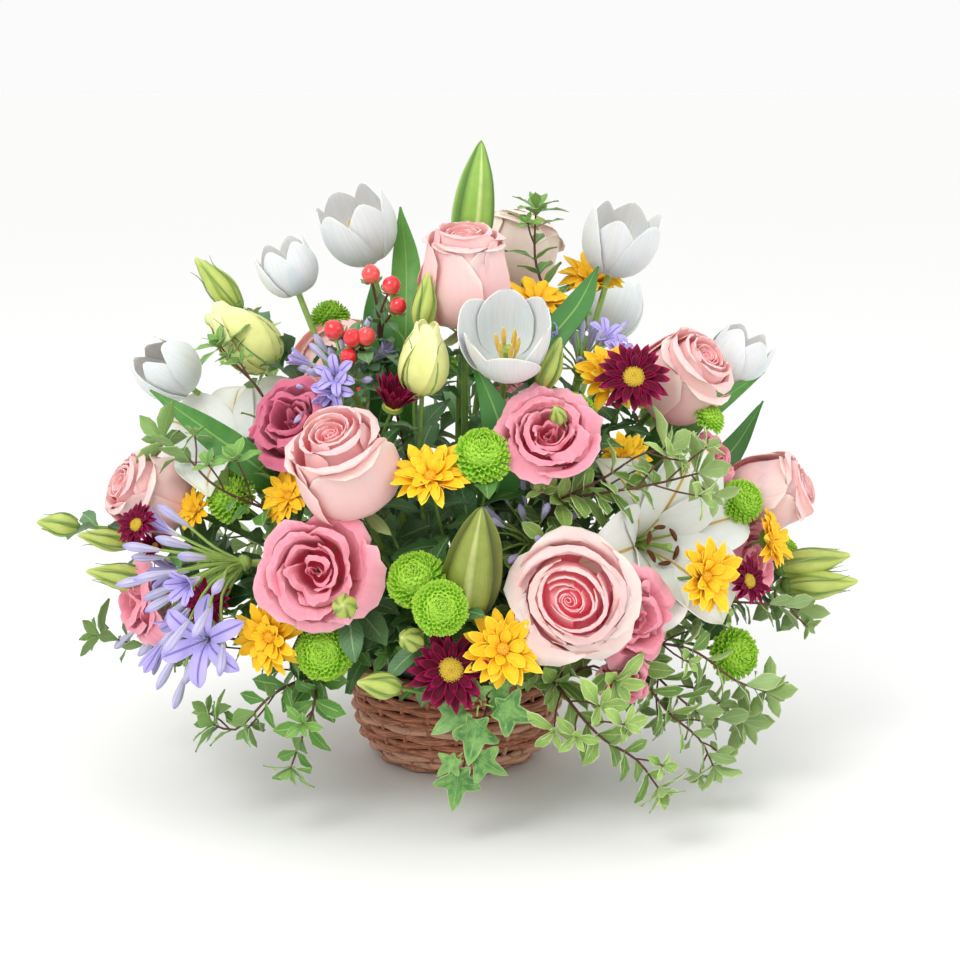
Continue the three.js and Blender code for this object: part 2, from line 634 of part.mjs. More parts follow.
// The rim is a thick ring that lies on the wall, a little flattened where it meets it.
function basketRim() {
  const ring = [];
  for (let i = 0; i <= RIM_SIDES; i++) {
    const angle = (i / RIM_SIDES) * 2 * Math.PI;
    const radius = BASKET_RADIUS - WALL / 2 + RIM_RADIUS * Math.cos(angle);
    ring.push([radius, BASKET_HEIGHT - RIM_RADIUS + (RIM_RADIUS - GAP) * Math.sin(angle)]);
  }
  return turned(ring);
}

function potLiner() {
  const inner = LINER_OUTLINE.map(([r, z]) => [r - LINER_WALL, Math.max(z, LINER_FLOOR + LINER_WALL)]);
  return turned([
    [0, LINER_FLOOR],
    ...LINER_OUTLINE,
    ...inner.reverse(),
    [0, LINER_FLOOR + LINER_WALL],
  ]);
}

const floralFoam = (rods) => turned(FOAM_OUTLINE).subtract(join(rods));

// ---- Colours and the finished group ------------------------------------------------------

const WILLOW = { color: 0x8a4f38, roughness: 0.75 };
const LINER_FILM = { color: 0x20241f, roughness: 0.45 };
const WET_FOAM = { color: 0x2f5a35, roughness: 0.95 };
const LEAF_GREEN = { color: 0x6f9a4c, roughness: 0.5 };
const BLOOM_FINISHES = {
  rose: { color: 0xf3c9cb, roughness: 0.55 },
  open_rose: { color: 0xf3c9cb, roughness: 0.55 },
  tulip: { color: 0xf2f3ee, roughness: 0.5 },
  open_tulip: { color: 0xf2f3ee, roughness: 0.5 },
  lisianthus: { color: 0xe88fa4, roughness: 0.6 },
  lily: { color: 0xf4f3ec, roughness: 0.5 },
  lily_bud: { color: 0x9fb56a, roughness: 0.45 },
  umbel: { color: 0x9a90d8, roughness: 0.55 },
  button: { color: 0x8cc63a, roughness: 0.7 },
  yellow: { color: 0xf3b413, roughness: 0.6 },
  burgundy: { color: 0x6d1036, roughness: 0.6 },
  bud: { color: 0xc9d47a, roughness: 0.5 },
  berry: { color: 0xd8392f, roughness: 0.3 },
};

// A solid as a named mesh that stands at a place of its own.
function piece(name, shape, finish, place = new THREE.Vector3()) {
  const geometry = geometryOf(shape).translate(-place.x, -place.y, -place.z);
  const material = new THREE.MeshStandardMaterial({ ...finish, metalness: 0 });
  const mesh = new THREE.Mesh(geometry, material);
  mesh.name = name;
  mesh.position.copy(place);
  return mesh;
}

const finishOf = ({ blooms }) => (blooms.length ? BLOOM_FINISHES[blooms[0].kind] : LEAF_GREEN);

setEntries(STEMS);
const rods = STEMS.map((one) => stalkOf(one, CLEARANCE));
const cut = stemSolids(STEMS, rods);

const basket = new THREE.Group();
basket.add(piece("basket_base", basketBase(), WILLOW));
basket.add(piece("basket_wall", basketWall(), WILLOW));
basket.add(piece("basket_rim", basketRim(), WILLOW));
basket.add(piece("pot_liner", potLiner(), LINER_FILM));
basket.add(piece("floral_foam", floralFoam(rods), WET_FOAM));

const flowers = new THREE.Group();
const greenery = new THREE.Group();
STEMS.forEach((one, i) => {
  const holder = one.shoots.length ? greenery : flowers;
  holder.add(piece(one.name, cut[i], finishOf(one), one.entry));
});

const arrangement = new THREE.Group();
arrangement.add(basket, flowers, greenery);

export default arrangement;
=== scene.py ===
import functools
import math
from collections import defaultdict

import bpy
import numpy as np
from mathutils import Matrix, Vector


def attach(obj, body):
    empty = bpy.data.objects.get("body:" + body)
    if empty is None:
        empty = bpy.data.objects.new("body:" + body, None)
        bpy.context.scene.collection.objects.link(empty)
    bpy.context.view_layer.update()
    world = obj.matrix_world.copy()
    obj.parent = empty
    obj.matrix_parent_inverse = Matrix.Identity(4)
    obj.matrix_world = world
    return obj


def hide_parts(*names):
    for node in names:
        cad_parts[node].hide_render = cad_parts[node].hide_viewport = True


# A round willow basket packed with cut flowers and greenery. Its front faces -Y.
# Plants are worked out in millimetres and become metres when a piece is made.

bl_info = {
    "name": "Flower Basket",
    "version": (1, 0, 0),
    "blender": (4, 5, 0),
    "location": "View3D > Sidebar > Flower Basket",
    "description": "Builds a willow basket of roses, tulips, lilies and mixed garden flowers",
    "category": "Add Mesh",
}

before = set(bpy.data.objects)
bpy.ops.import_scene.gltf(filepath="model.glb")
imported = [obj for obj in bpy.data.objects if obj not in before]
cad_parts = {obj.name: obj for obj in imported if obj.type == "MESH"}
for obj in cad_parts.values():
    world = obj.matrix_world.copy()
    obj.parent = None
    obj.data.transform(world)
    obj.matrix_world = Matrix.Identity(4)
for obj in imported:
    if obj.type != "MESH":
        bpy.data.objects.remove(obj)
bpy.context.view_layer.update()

MM = 0.001
GOLDEN_ANGLE = math.pi * (3 - math.sqrt(5))
UP = np.array([0.0, 0.0, 1.0])

# ---- How the stems stand in the foam ----

FOAM_TOP = 100
STEM_DEPTH = 24
FOOT_SPREAD = 0.8
PULL = 0.35
ENTRY_RADIUS = 57
ENTRY_SPACING = 12.5
ENTRY_ROUNDS = 150
LEAN_MAX = math.radians(62)
REACH_MAX = math.radians(85)
FORK_STEPS = 4
CURVE_SAMPLES = 200

# How far each bloom's middle is above its neck, for a size of 1.
MIDDLES = {
    "tulip": 0.5, "open_tulip": 0.45, "rose": 0.5, "open_rose": 0.3, "lisianthus": 0.3,
    "bud": 0.5, "lily_bud": 0.5, "button": 0.36, "yellow": 0.15, "burgundy": 0.15,
    "berry": 0.5, "lily": 0.0, "umbel": 0.0,
}


def unit(vector):
    vector = np.asarray(vector, float)
    return vector / max(np.linalg.norm(vector), 1e-9)


class Bloom:
    """One bloom: its plant, kind, middle, the way it faces, its size and how open it is."""

    def __init__(self, plant, kind, middle, face, size, look=0.5):
        self.plant, self.kind, self.size, self.look = plant, kind, size, look
        self.facing = unit(face)
        self.neck = np.array(middle, float) - self.facing * MIDDLES[kind] * size
        self.depth = max(0.8 * MIDDLES[kind] * size, 2)


class Plant:
    """A cut stem with its blooms, long leaves or leafy shoots."""

    def __init__(self, name, radius, blooms=(), leaves=(), fork=2, shoots=(), leaf_length=0):
        self.name, self.radius, self.fork, self.leaf_length = name, radius, fork, leaf_length
        self.blooms = [Bloom(name, *one) for one in blooms]
        self.leaves = [(np.array(points, float), width) for points, width in leaves]
        shoots = [np.array(points, float) for points in shoots]
        self.shoots = shoots[:1] + [np.vstack([shoots[0][:1], shoot]) for shoot in shoots[1:]]
        self.aim = self.blooms[0].neck if self.blooms else shoots[0][0]


def stems(radius, rows):
    """Stems of one thickness. A row is a name, blooms, long leaves and where the stem forks."""
    return [Plant(name, radius, *rest) for name, *rest in rows]


def leafy(name, leaf_length, *shoots):
    return Plant(name, 1.2, fork=FORK_STEPS, shoots=shoots, leaf_length=leaf_length)


ROSES = stems(3, [
    ("rose_right_front", [("open_rose", (83, -183, 174), (0, -9, 2), 87)]),
    ("rose_left_front", [("rose", (-76, -157, 261), (-2.5, -4.5, 8), 74, 0.35)]),
    ("rose_top", [("rose", (7, -67, 381), (0, -2, 9), 76, -0.45)]),
    ("rose_top_back", [("rose", (45, 70, 386), (3, 3, 8), 70, 0.4)]),
    ("rose_right", [("rose", (167, -62, 307), (5, -4, 6), 67, 0.2)]),
    ("rose_far_right", [("rose", (236, -44, 216), (8, -2, 3), 63, 0.1)]),
    ("rose_far_left", [("rose", (-225, -66, 221), (-7, -4, 4), 62, 0.3)]),
    ("rose_back", [("rose", (-95, 125, 285), (-4, 7, 5), 74, 0.6)]),
])
TULIPS = stems(2.8, [
    ("tulip_high_left", [("tulip", (-74, 7, 411), (-3, -3, 8), 57, 0.95)],
     [([(-38, -10, 320), (-38, 10, 385), (-42, 12, 425)], 24)]),
    ("tulip_left", [("tulip", (-125, -16, 383), (-3, -1, 8), 43, 0.85)],
     [([(-52, -45, 300), (-58, -35, 345), (-62, -30, 372)], 24)]),
    ("tulip_far_left", [("tulip", (-220, -8, 305), (-7, -4, 6), 50, 0.5)],
     [([(-131, -85, 236), (-172, -88, 268), (-228, -30, 292)], 26)]),
    ("tulip_centre", [("open_tulip", (37, -125, 341), (0, -6, 7), 55, 1.0)],
     [([(30, -118, 235), (32, -128, 281), (12, -112, 330)], 30)]),
    ("tulip_high_right", [("tulip", (123, 5, 402), (2, -3, 8), 55, 0.95)],
     [([(64, -62, 325), (89, -47, 357), (106, -10, 382)], 24)]),
    ("tulip_back_right", [("tulip", (126, 120, 338), (3, 3, 8), 56, 0.4)]),
    ("tulip_right", [("tulip", (215, -4, 316), (4, -1, 7), 46, 0.7)],
     [([(150, -55, 258), (187, -40, 280), (233, -7, 302)], 22),
      ([(185, -30, 225), (212, -12, 246), (233, -7, 280)], 22)]),
])
LILIES = stems(3.2, [
    ("lily_right", [("lily", (127, -84, 186), (4.5, -6.5, 2.5), 100),
        ("lily_bud", (14, -172, 196), (1, -3, 8), 92, 1.3)]),
    ("lily_left", [("lily", (-158, -24, 224), (-3, -3, 7), 92)]),
    ("lily_bud_top", [("lily_bud", (14, -6, 430), (1, 0, 9), 91, 1.0)]),
])
LISIANTHUSES = stems(2, [
    ("lisianthus_left_front", [("lisianthus", (-94, -168, 189), (-1, -9, 2), 75, 0.6),
        ("bud", (-73, -205, 174), (0, -9, 3), 30), ("bud", (-30, -189, 146), (-3, -8, 3), 30),
        ("bud", (-52, -184, 112), (-7, -4, 2), 34)]),
    ("lisianthus_centre", [("lisianthus", (65, -146, 278), (0, -7, 5), 69, 0.5),
        ("bud", (68, -118, 325), (3, 0, 9), 40)]),
    ("lisianthus_top", [("bud", (-21, -130, 330), (1, -1, 9), 50, 1.0),
        ("bud", (-21, -93, 366), (1, 0, 9), 42)]),
    ("lisianthus_upper_left", [("lisianthus", (-112, -99, 276), (-3, -6, 5), 72, 0.2),
        ("bud", (-158, -20, 330), (-7, 2, 6), 62, 1.0), ("bud", (-180, 0, 369), (-6, 0, 7), 50)]),
    ("lisianthus_low_right", [("lisianthus", (120, -162, 154), (5, -7, 0.5), 68, 0.5),
        ("lisianthus", (118, -158, 108), (2, -8, -1), 40, 0.4)]),
    ("lisianthus_right", [("lisianthus", (214, -72, 173), (6, -6, 1), 54, 0.6),
        ("lisianthus", (186, -66, 248), (5, -4, 5), 40, 0.2), ("bud", (272, -30, 160), (9, -1, 2), 56),
        ("bud", (277, -36, 144), (9, -1, 1), 56)]),
    ("lisianthus_far_left", [("lisianthus", (-229, -78, 142), (-8, -4, 0), 60, 0.6),
        ("bud", (-248, -84, 163), (-9, -2, 2), 46), ("bud", (-262, -56, 184), (-9, -2, 2), 40),
        ("bud", (-302, -30, 189), (-9, 0, 1), 32)]),
    ("lisianthus_back", [("lisianthus", (60, 160, 240), (2, 8, 4), 74, 0.6),
        ("lisianthus", (-30, 170, 165), (-1, 9, 2), 66, 0.5), ("bud", (10, 150, 310), (0, 4, 8), 46)]),
])
BUTTONS = stems(1.6, [
    ("buttons_front", [("button", (-28, -175, 188), (-2, -6, 5), 40),
        ("button", (-8, -200, 172), (1, -8, 3), 37), ("button", (20, -165, 274), (0, -6, 7), 40)]),
    ("buttons_left", [("button", (-166, -94, 229), (-5, -5, 6), 38),
        ("button", (-98, 14, 347), (-2, 0, 9), 30)]),
    ("buttons_low_left", [("button", (-92, -168, 130), (-1, -8, 2), 39)]),
    ("buttons_right", [("button", (208, -106, 109), (5, -7, 1), 38),
        ("button", (256, -15, 166), (8, -2, 4), 24), ("button", (212, -88, 222), (6, -8, 5), 32)], (), 3),
    ("buttons_upper_right", [("button", (86, -112, 294), (2, -4, 7), 32),
        ("button", (186, -82, 283), (5, -3, 7), 24)]),
    ("buttons_back", [("button", (-20, 150, 290), (0, 6, 6), 38),
        ("button", (132, 116, 200), (7, 6, 3), 38), ("button", (-140, 120, 180), (-6, 7, 3), 38)]),
])
DAISIES = stems(1.6, [
    ("yellow_front", [("yellow", (34, -185, 138), (1, -7, 2), 58),
        ("yellow", (-16, -166, 256), (-1, -6, 7), 54)]),
    ("yellow_left", [("yellow", (-130, -158, 138), (-4, -8, 1), 54),
        ("yellow", (-118, -122, 232), (-4, -6, 5), 44), ("yellow", (-190, -88, 214), (-5, -6, 4), 32)]),
    ("yellow_top", [("yellow", (104, 30, 370), (0, -4, 8), 52),
        ("yellow", (60, -29, 360), (1, -4, 8), 50)]),
    ("yellow_right", [("yellow", (178, -142, 178), (5, -7, 2), 54),
        ("yellow", (231, -86, 191), (8, -4, 3), 44), ("yellow", (112, -88, 312), (2, -6, 5), 54),
        ("yellow", (120, -116, 258), (2, -7, 4), 40)]),
    ("yellow_back", [("yellow", (20, 180, 200), (0, 9, 3), 54),
        ("yellow", (160, 105, 250), (6, 5, 5), 50), ("yellow", (-170, 95, 245), (-6, 5, 5), 50)]),
    ("burgundy_front", [("burgundy", (-2, -188, 124), (0, -9, 2), 60),
        ("burgundy", (-42, -134, 300), (2, -4, 8), 38, 0.1)], (), 3),
    ("burgundy_upper_right", [("burgundy", (126, -114, 316), (0, -8, 5), 54),
        ("bud", (71, -156, 296), (-2, -6, 5), 20)]),
    ("burgundy_left", [("burgundy", (-227, -118, 210), (-4, -7, 5), 36),
        ("burgundy", (-214, -116, 194), (-2, -8, 3), 22, 0.2),
        ("burgundy", (-176, -137, 158), (-2, -7, 4), 36, 0.3)]),
    ("burgundy_right", [("burgundy", (212, -116, 168), (6, -6, 4), 38, 0.4)]),
])
AGAPANTHUSES = stems(3.2, [
    ("agapanthus_left", [("umbel", (-150, -118, 182), (-8, -3, -3), 92)]),
    ("agapanthus_upper_left", [("umbel", (-76, -66, 300), (-3, -4, 5), 56)]),
    ("agapanthus_upper_right", [("umbel", (92, -30, 300), (1, -3, 8), 60)]),
    ("agapanthus_centre", [("umbel", (56, -112, 190), (0, -6, 6), 62, 0.0)]),
])
BERRY_STEMS = stems(1.3, [
    ("hypericum", [("berry", (-60, -76, 384), (-1, -2, 9), 14),
        ("berry", (-45, -78, 376), (3, -2, 8), 14), ("berry", (-40, -84, 362), (4, -4, 6), 13),
        ("berry", (-86, -92, 346), (-6, -3, 7), 15), ("berry", (-72, -104, 342), (-3, -6, 6), 14),
        ("berry", (-62, -104, 343), (1, -6, 7), 14),
        ("berry", (-75, -104, 328), (-3, -8, 2), 13)], (), 3),
])
BRANCHES = [
    leafy("sprig_top", 26, [(72, -6, 350), (60, 6, 384), (60, 8, 424)]),
    leafy("sprig_left", 26, [(-126, -104, 214), (-168, -122, 238), (-193, -99, 256), (-215, -72, 262)],
          [(-140, -60, 291), (-162, -38, 311), (-174, -40, 327)]),
    leafy("sprig_centre_right", 28,
          [(74, -140, 233), (104, -152, 251), (128, -148, 266), (148, -139, 269)],
          [(135, -153, 246), (172, -131, 250)]),
    leafy("sprig_right", 26, [(118, -132, 129), (168, -134, 122), (201, -126, 97), (228, -106, 81)],
          [(177, -120, 70), (214, -93, 54)], [(150, -140, 80), (176, -140, 56), (186, -142, 36)],
          [(190, -84, 142), (224, -76, 140), (263, -30, 122)]),
    leafy("sprig_low_right", 26, [(71, -150, 102), (101, -185, 75), (126, -197, 62), (141, -207, 44)],
          [(98, -160, 118), (112, -178, 112)]),
    leafy("sprig_low_left", 24, [(-98, -130, 104), (-128, -157, 96), (-155, -160, 71), (-171, -157, 74)],
          [(-100, -162, 84), (-108, -173, 66), (-114, -182, 50)],
          [(-170, -90, 118), (-235, -50, 100), (-274, -33, 103)]),
    leafy("ivy", 30, [(24, -140, 104), (22, -172, 88), (10, -186, 66), (3, -196, 40)]),
    leafy("sprig_back_left", 30, [(-80, 90, 130), (-150, 140, 140), (-200, 150, 120)],
          [(-70, 160, 100), (-80, 190, 60), (-80, 200, 36)], [(-120, 90, 230), (-170, 80, 310)],
          [(-40, 120, 220), (-50, 150, 260)]),
    leafy("sprig_back_right", 30, [(80, 90, 120), (160, 130, 110), (220, 110, 80)],
          [(70, 160, 110), (60, 200, 70), (60, 210, 40)], [(110, 110, 250), (180, 80, 290)],
          [(150, 80, 170), (230, 60, 190)]),
]
PLANTS = ROSES + TULIPS + LILIES + LISIANTHUSES + BUTTONS + DAISIES + AGAPANTHUSES + BERRY_STEMS + BRANCHES

# The space that each bloom fills, which leaves keep out of: its middle, facing and reach.
FLAT_BLOOMS = ("yellow", "burgundy", "lisianthus", "open_rose")
REACHES = {"bud": 0.2, "lily_bud": 0.2, "lily": 0.3}
SOLID_BLOOMS = [b for plant in PLANTS for b in plant.blooms if b.kind not in ("umbel", "berry")]
BLOOM_MIDDLES = np.array(
    [b.neck + b.facing * b.size * (0.2 if b.kind in FLAT_BLOOMS else 0.45) for b in SOLID_BLOOMS])
BLOOM_FACINGS = np.array([b.facing for b in SOLID_BLOOMS])
BLOOM_REACHES = np.array([b.size * REACHES.get(b.kind, 0.46) for b in SOLID_BLOOMS])


def set_entries(plants):
    """Where each stem enters the foam's top: on the side it leans to, clear of the others."""
    entries = []
    for plant in plants:
        reach = math.hypot(plant.aim[0], plant.aim[1])
        angle = math.atan2(reach, plant.aim[2] - FOAM_TOP)
        entries.append(plant.aim[:2] / reach * ENTRY_RADIUS * min(angle / REACH_MAX, 1))
    for _ in range(ENTRY_ROUNDS):
        for i in range(len(plants)):
            for j in range(i + 1, len(plants)):
                apart = entries[j] - entries[i]
                distance = math.hypot(apart[0], apart[1])
                if distance < ENTRY_SPACING:
                    apart = apart / distance * (ENTRY_SPACING - distance) / 2
                    entries[j] = entries[j] + apart
                    entries[i] = entries[i] - apart
        entries = [e * min(ENTRY_RADIUS / math.hypot(e[0], e[1]), 1) for e in entries]
    for plant, entry in zip(plants, entries):
        plant.entry = np.array([entry[0], entry[1], FOAM_TOP])
        plant.lean = LEAN_MAX * math.hypot(entry[0], entry[1]) / ENTRY_RADIUS


set_entries(PLANTS)


def neighbours(rows, place):
    """How far a place is past the row before it, and the two rows on each side of it."""
    last = len(rows) - 1
    i = np.clip(place.astype(int), 0, last - 1)
    padded = np.vstack([2 * rows[0] - rows[1], rows, 2 * rows[-1] - rows[-2]])
    return (place - i)[:, None], [padded[i + k] for k in range(4)]


def curve_at(points, ts):
    """Points of a smooth curve through the given ones, at shares of its run."""
    points = np.asarray(points, float)
    w, (p0, p1, p2, p3) = neighbours(points, np.asarray(ts, float) * (len(points) - 1))
    d0, d1, d2 = (
        np.sqrt(np.linalg.norm(b - a, axis=1))[:, None] for a, b in ((p0, p1), (p1, p2), (p2, p3)))
    t1 = ((p1 - p0) / d0 - (p2 - p0) / (d0 + d1) + (p2 - p1) / d1) * d1
    t2 = ((p2 - p1) / d1 - (p3 - p1) / (d1 + d2) + (p3 - p2) / d2) * d1
    return p1 + t1 * w + (3 * (p2 - p1) - 2 * t1 - t2) * w**2 + (2 * (p1 - p2) + t1 + t2) * w**3


def through_rows(rows, s):
    """A smooth line through evenly spaced rows of numbers, read at shares s of its run."""
    rows = np.asarray(rows, float)
    f, (p0, p1, p2, p3) = neighbours(rows, np.clip(s, 0, 1) * (len(rows) - 1))
    bend = (2 * p0 - 5 * p1 + 4 * p2 - p3) * f**2 / 2
    return p1 + (p2 - p0) * f / 2 + bend + (3 * p1 - p0 - 3 * p2 + p3) * f**3 / 2


def through(numbers, s):
    return through_rows(np.array(numbers)[:, None], s)[:, 0]


def run_along(points):
    """The length of a line up to each of its points."""
    return np.concatenate([[0], np.cumsum(np.linalg.norm(np.diff(points, axis=0), axis=1))])


def line(points, steps):
    """Evenly spaced points along the smooth curve through the given ones."""
    ts = np.linspace(0, 1, CURVE_SAMPLES + 1)
    run = run_along(curve_at(points, ts))
    return curve_at(points, np.interp(np.linspace(0, run[-1], steps + 1), run, ts))


def route_of(plant):
    """The line a stem follows: a straight foot in the foam and a bow up to where it ends."""
    level = unit([plant.aim[0] - plant.entry[0], plant.aim[1] - plant.entry[1], 0])
    start = level * math.sin(plant.lean) + UP * math.cos(plant.lean)
    foot = plant.entry * FOOT_SPREAD
    foot[2] = FOAM_TOP - STEM_DEPTH
    pull = np.linalg.norm(plant.entry - plant.aim) * PULL
    after = plant.entry + start * pull
    if plant.shoots:
        return np.array([foot, plant.entry, after, plant.aim])
    first = plant.blooms[0]
    hold = np.array([plant.entry, after, plant.aim - first.facing * pull, plant.aim])
    bow = []
    for t in (1 / 3, 2 / 3):
        shares = ((1 - t) ** 3, 3 * t * (1 - t) ** 2, 3 * t * t * (1 - t), t**3)
        bow.append(sum(share * point for share, point in zip(shares, hold)))
    return np.array([foot, plant.entry, *bow, plant.aim + first.facing * first.depth])


def fork_of(plant):
    return line(route_of(plant), FORK_STEPS)[plant.fork]


def side_routes(plant):
    """The lines of the side stems, one for each bloom after the first."""
    fork = fork_of(plant)
    routes = []
    for bloom in plant.blooms[1:]:
        bend = bloom.neck - bloom.facing * PULL * np.linalg.norm(fork - bloom.neck)
        routes.append(np.array([fork, bend, bloom.neck + bloom.facing * bloom.depth]))
    return routes


# ---- Blanks: closed forms that petals, leaves, stems and berries are shaped from ----


def deselect():
    bpy.ops.object.select_all(action="DESELECT")


class Blank:
    """A closed form's corners and faces, as numbers that can be copied and shaped."""

    def __init__(self, made):
        mesh = made.data
        self.corners = np.zeros(len(mesh.vertices) * 3)
        mesh.vertices.foreach_get("co", self.corners)
        self.corners = self.corners.reshape(-1, 3)
        self.loops = np.zeros(len(mesh.loops), int)
        mesh.loops.foreach_get("vertex_index", self.loops)
        self.counts = np.zeros(len(mesh.polygons), int)
        mesh.polygons.foreach_get("loop_total", self.counts)
        bpy.data.objects.remove(made)
        self.turn = np.arctan2(self.corners[:, 1], self.corners[:, 0])


# Columns of a slab stand closer together near the sides, where a rim turns most.
COLUMN_BOW = 1.35


def bowed(share):
    return np.sin(share * COLUMN_BOW) / math.sin(COLUMN_BOW)


@functools.cache
def slab(columns, rows):
    """A flat slab for petals and leaves: across -1 to 1, along 0 to 1, through -0.5 to 0.5."""
    deselect()
    bpy.ops.mesh.primitive_grid_add(x_subdivisions=columns, y_subdivisions=rows, size=2)
    made = bpy.context.object
    wall = made.modifiers.new("wall", "SOLIDIFY")
    wall.thickness, wall.offset = 1, 0
    bpy.ops.object.modifier_apply(modifier=wall.name)
    blank = Blank(made)
    blank.across = bowed(blank.corners[:, 0])
    blank.along = (blank.corners[:, 1] + 1) / 2
    blank.through = np.sign(blank.corners[:, 2]) / 2
    return blank


@functools.cache
def rod(sides, steps):
    """A round rod with closed ends: its corners' turn in radians, and place along, 0 to 1."""
    deselect()
    bpy.ops.mesh.primitive_grid_add(x_subdivisions=sides, y_subdivisions=steps, size=2)
    made = bpy.context.object
    for vertex in made.data.vertices:
        turn = (vertex.co.x + 1) * math.pi
        vertex.co = (math.cos(turn), math.sin(turn), (vertex.co.y + 1) / 2)
    bpy.ops.object.mode_set(mode="EDIT")
    bpy.ops.mesh.select_all(action="SELECT")
    bpy.ops.mesh.remove_doubles(threshold=1e-4)
    bpy.ops.mesh.fill_holes(sides=0)
    bpy.ops.mesh.select_all(action="SELECT")
    bpy.ops.mesh.normals_make_consistent(inside=False)
    bpy.ops.object.mode_set(mode="OBJECT")
    blank = Blank(made)
    blank.along = blank.corners[:, 2]
    return blank


@functools.cache
def ball(sides, rings):
    """A ball with closed poles: its corners' turn in radians, and place along, 0 to 1."""
    deselect()
    bpy.ops.mesh.primitive_uv_sphere_add(segments=sides, ring_count=rings, radius=1)
    blank = Blank(bpy.context.object)
    blank.along = np.arccos(np.clip(-blank.corners[:, 2], -1, 1)) / math.pi
    return blank


@functools.cache
def hoop(steps, sides):
    """A ring rod: its corners' turn round the ring and round the rod, in radians."""
    deselect()
    bpy.ops.mesh.primitive_torus_add(
        major_segments=steps, minor_segments=sides, major_radius=2, minor_radius=1)
    blank = Blank(bpy.context.object)
    x, y, z = blank.corners.T
    blank.roll = np.arctan2(z, np.hypot(x, y) - 2)
    return blank


# ---- Growing pieces ----


class Growth:
    """What one piece is made of so far. Each corner has four marks that the materials read:
    its place along, its place across, a tint and a layer, each from 0 to 1."""

    def __init__(self):
        self.corners, self.loops, self.counts, self.marks, self.total = [], [], [], [], 0

    def add(self, blank, corners, along, across, tint=0.5, layer=0.5):
        size = len(corners)
        self.corners.append(corners)
        self.loops.append(blank.loops + self.total)
        self.counts.append(blank.counts)
        marks = [np.broadcast_to(np.asarray(m, float), size) for m in (along, across, tint, layer)]
        self.marks.append(np.stack(marks, axis=1))
        self.total += size

    def add_sheet(self, blank, corners, tint, layer):
        """A slab's corners, marked by their place along and across the slab."""
        self.add(blank, corners, blank.along, blank.across / 2 + 0.5, tint, layer)

    def add_round(self, blank, corners, tint=0.5, layer=0.5):
        """A round form's corners, marked by their place along it and their turn about it."""
        self.add(blank, corners, blank.along, blank.turn / math.tau + 0.5, tint, layer)


SMOOTH_ANGLE = math.radians(55)


def make_piece(node, name, growth, slot):
    """Turns a growth into a piece of the named finish that stands for a CAD node."""
    made = bpy.data.objects.new(f"{node}.{name}", bpy.data.meshes.new(f"{node}.{name}"))
    mesh = made.data
    corners, loops, counts, marks = (
        np.concatenate(part) for part in (growth.corners, growth.loops, growth.counts, growth.marks))
    starts = np.concatenate([[0], np.cumsum(counts)[:-1]])
    mesh.vertices.add(len(corners))
    mesh.vertices.foreach_set("co", (corners * MM).astype(np.float32).ravel())
    mesh.loops.add(len(loops))
    mesh.loops.foreach_set("vertex_index", loops.astype(np.int32))
    mesh.polygons.add(len(counts))
    mesh.polygons.foreach_set("loop_start", starts.astype(np.int32))
    mesh.update(calc_edges=True)
    grain = mesh.attributes.new("grain", "FLOAT_COLOR", "POINT")
    grain.data.foreach_set("color", marks.astype(np.float32).ravel())
    mesh.materials.append(finish(name))
    bpy.context.scene.collection.objects.link(made)
    deselect()
    bpy.context.view_layer.objects.active = made
    made.select_set(True)
    bpy.ops.object.shade_smooth_by_angle(angle=SMOOTH_ANGLE)
    made.select_set(False)
    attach(made, "root")
    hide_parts(node)


def smoothstep(low, high, x):
    t = np.clip((x - low) / (high - low), 0, 1)
    return t * t * (3 - 2 * t)


def jitter(rng, width):
    """A random number as far below 0 as above it, in a band of a width."""
    return width * (rng.random() - 0.5)


def units(vectors):
    return vectors / np.maximum(np.linalg.norm(vectors, axis=1), 1e-12)[:, None]


def square_to(vector, way):
    """The part of a vector that is square to a way, at length 1."""
    return unit(vector - way * np.dot(vector, way))


def spoke(turn, rise=0.0):
    """The way out from the middle at a turn, and the way across it, which may rise."""
    return np.array([math.cos(turn), math.sin(turn), 0]), np.array([-math.sin(turn), math.cos(turn), rise])


def about_axis(radii, turns, heights):
    """Points at radii and turns about the upright axis."""
    return np.stack([radii * np.cos(turns), radii * np.sin(turns), heights], axis=1)


def shaped(blank, surface, thickness):
    """A slab's corners laid on a surface(across, along), with a thickness through it."""
    u, v = blank.across, blank.along
    step = 2e-3
    normal = np.cross(
        surface(u + step, v) - surface(u - step, v), surface(u, v + step) - surface(u, v - step))
    return surface(u, v) + units(normal) * (blank.through * thickness)[:, None]


class Seat:
    """A bloom's own frame: its neck, its right, its up and the way it faces, at its size."""

    def __init__(self, origin, facing, size, roll=0.0):
        facing = unit(facing)
        side = np.cross(UP, facing)
        side = unit(side) if np.linalg.norm(side) > 0.05 else np.array([1.0, 0.0, 0.0])
        turned = side * math.cos(roll) + np.cross(facing, side) * math.sin(roll)
        self.axes = np.stack([turned, np.cross(facing, turned), facing])
        self.origin, self.size = np.asarray(origin, float), size

    def put(self, local):
        return self.origin + (local @ self.axes) * self.size

    def way(self, local):
        return self.put(local) - self.origin

    def lay(self, growth, blank, surface, thickness, tint, layer):
        """Adds a petal to a growth: a slab laid on a surface of this frame."""
        growth.add_sheet(blank, self.put(shaped(blank, surface, thickness / self.size)), tint, layer)

    def drawn_in(self, way, share, shift):
        """The same frame, narrower along a way by a share, and moved by parts of its size."""
        drawn = Seat(self.origin + np.array(shift) * self.size, self.axes[2], self.size)
        drawn.axes = self.axes @ (np.eye(3) - share * np.outer(unit(way), unit(way)))
        return drawn


def seat_of(bloom, roll=0.0):
    return Seat(bloom.neck, bloom.facing, bloom.size, roll)


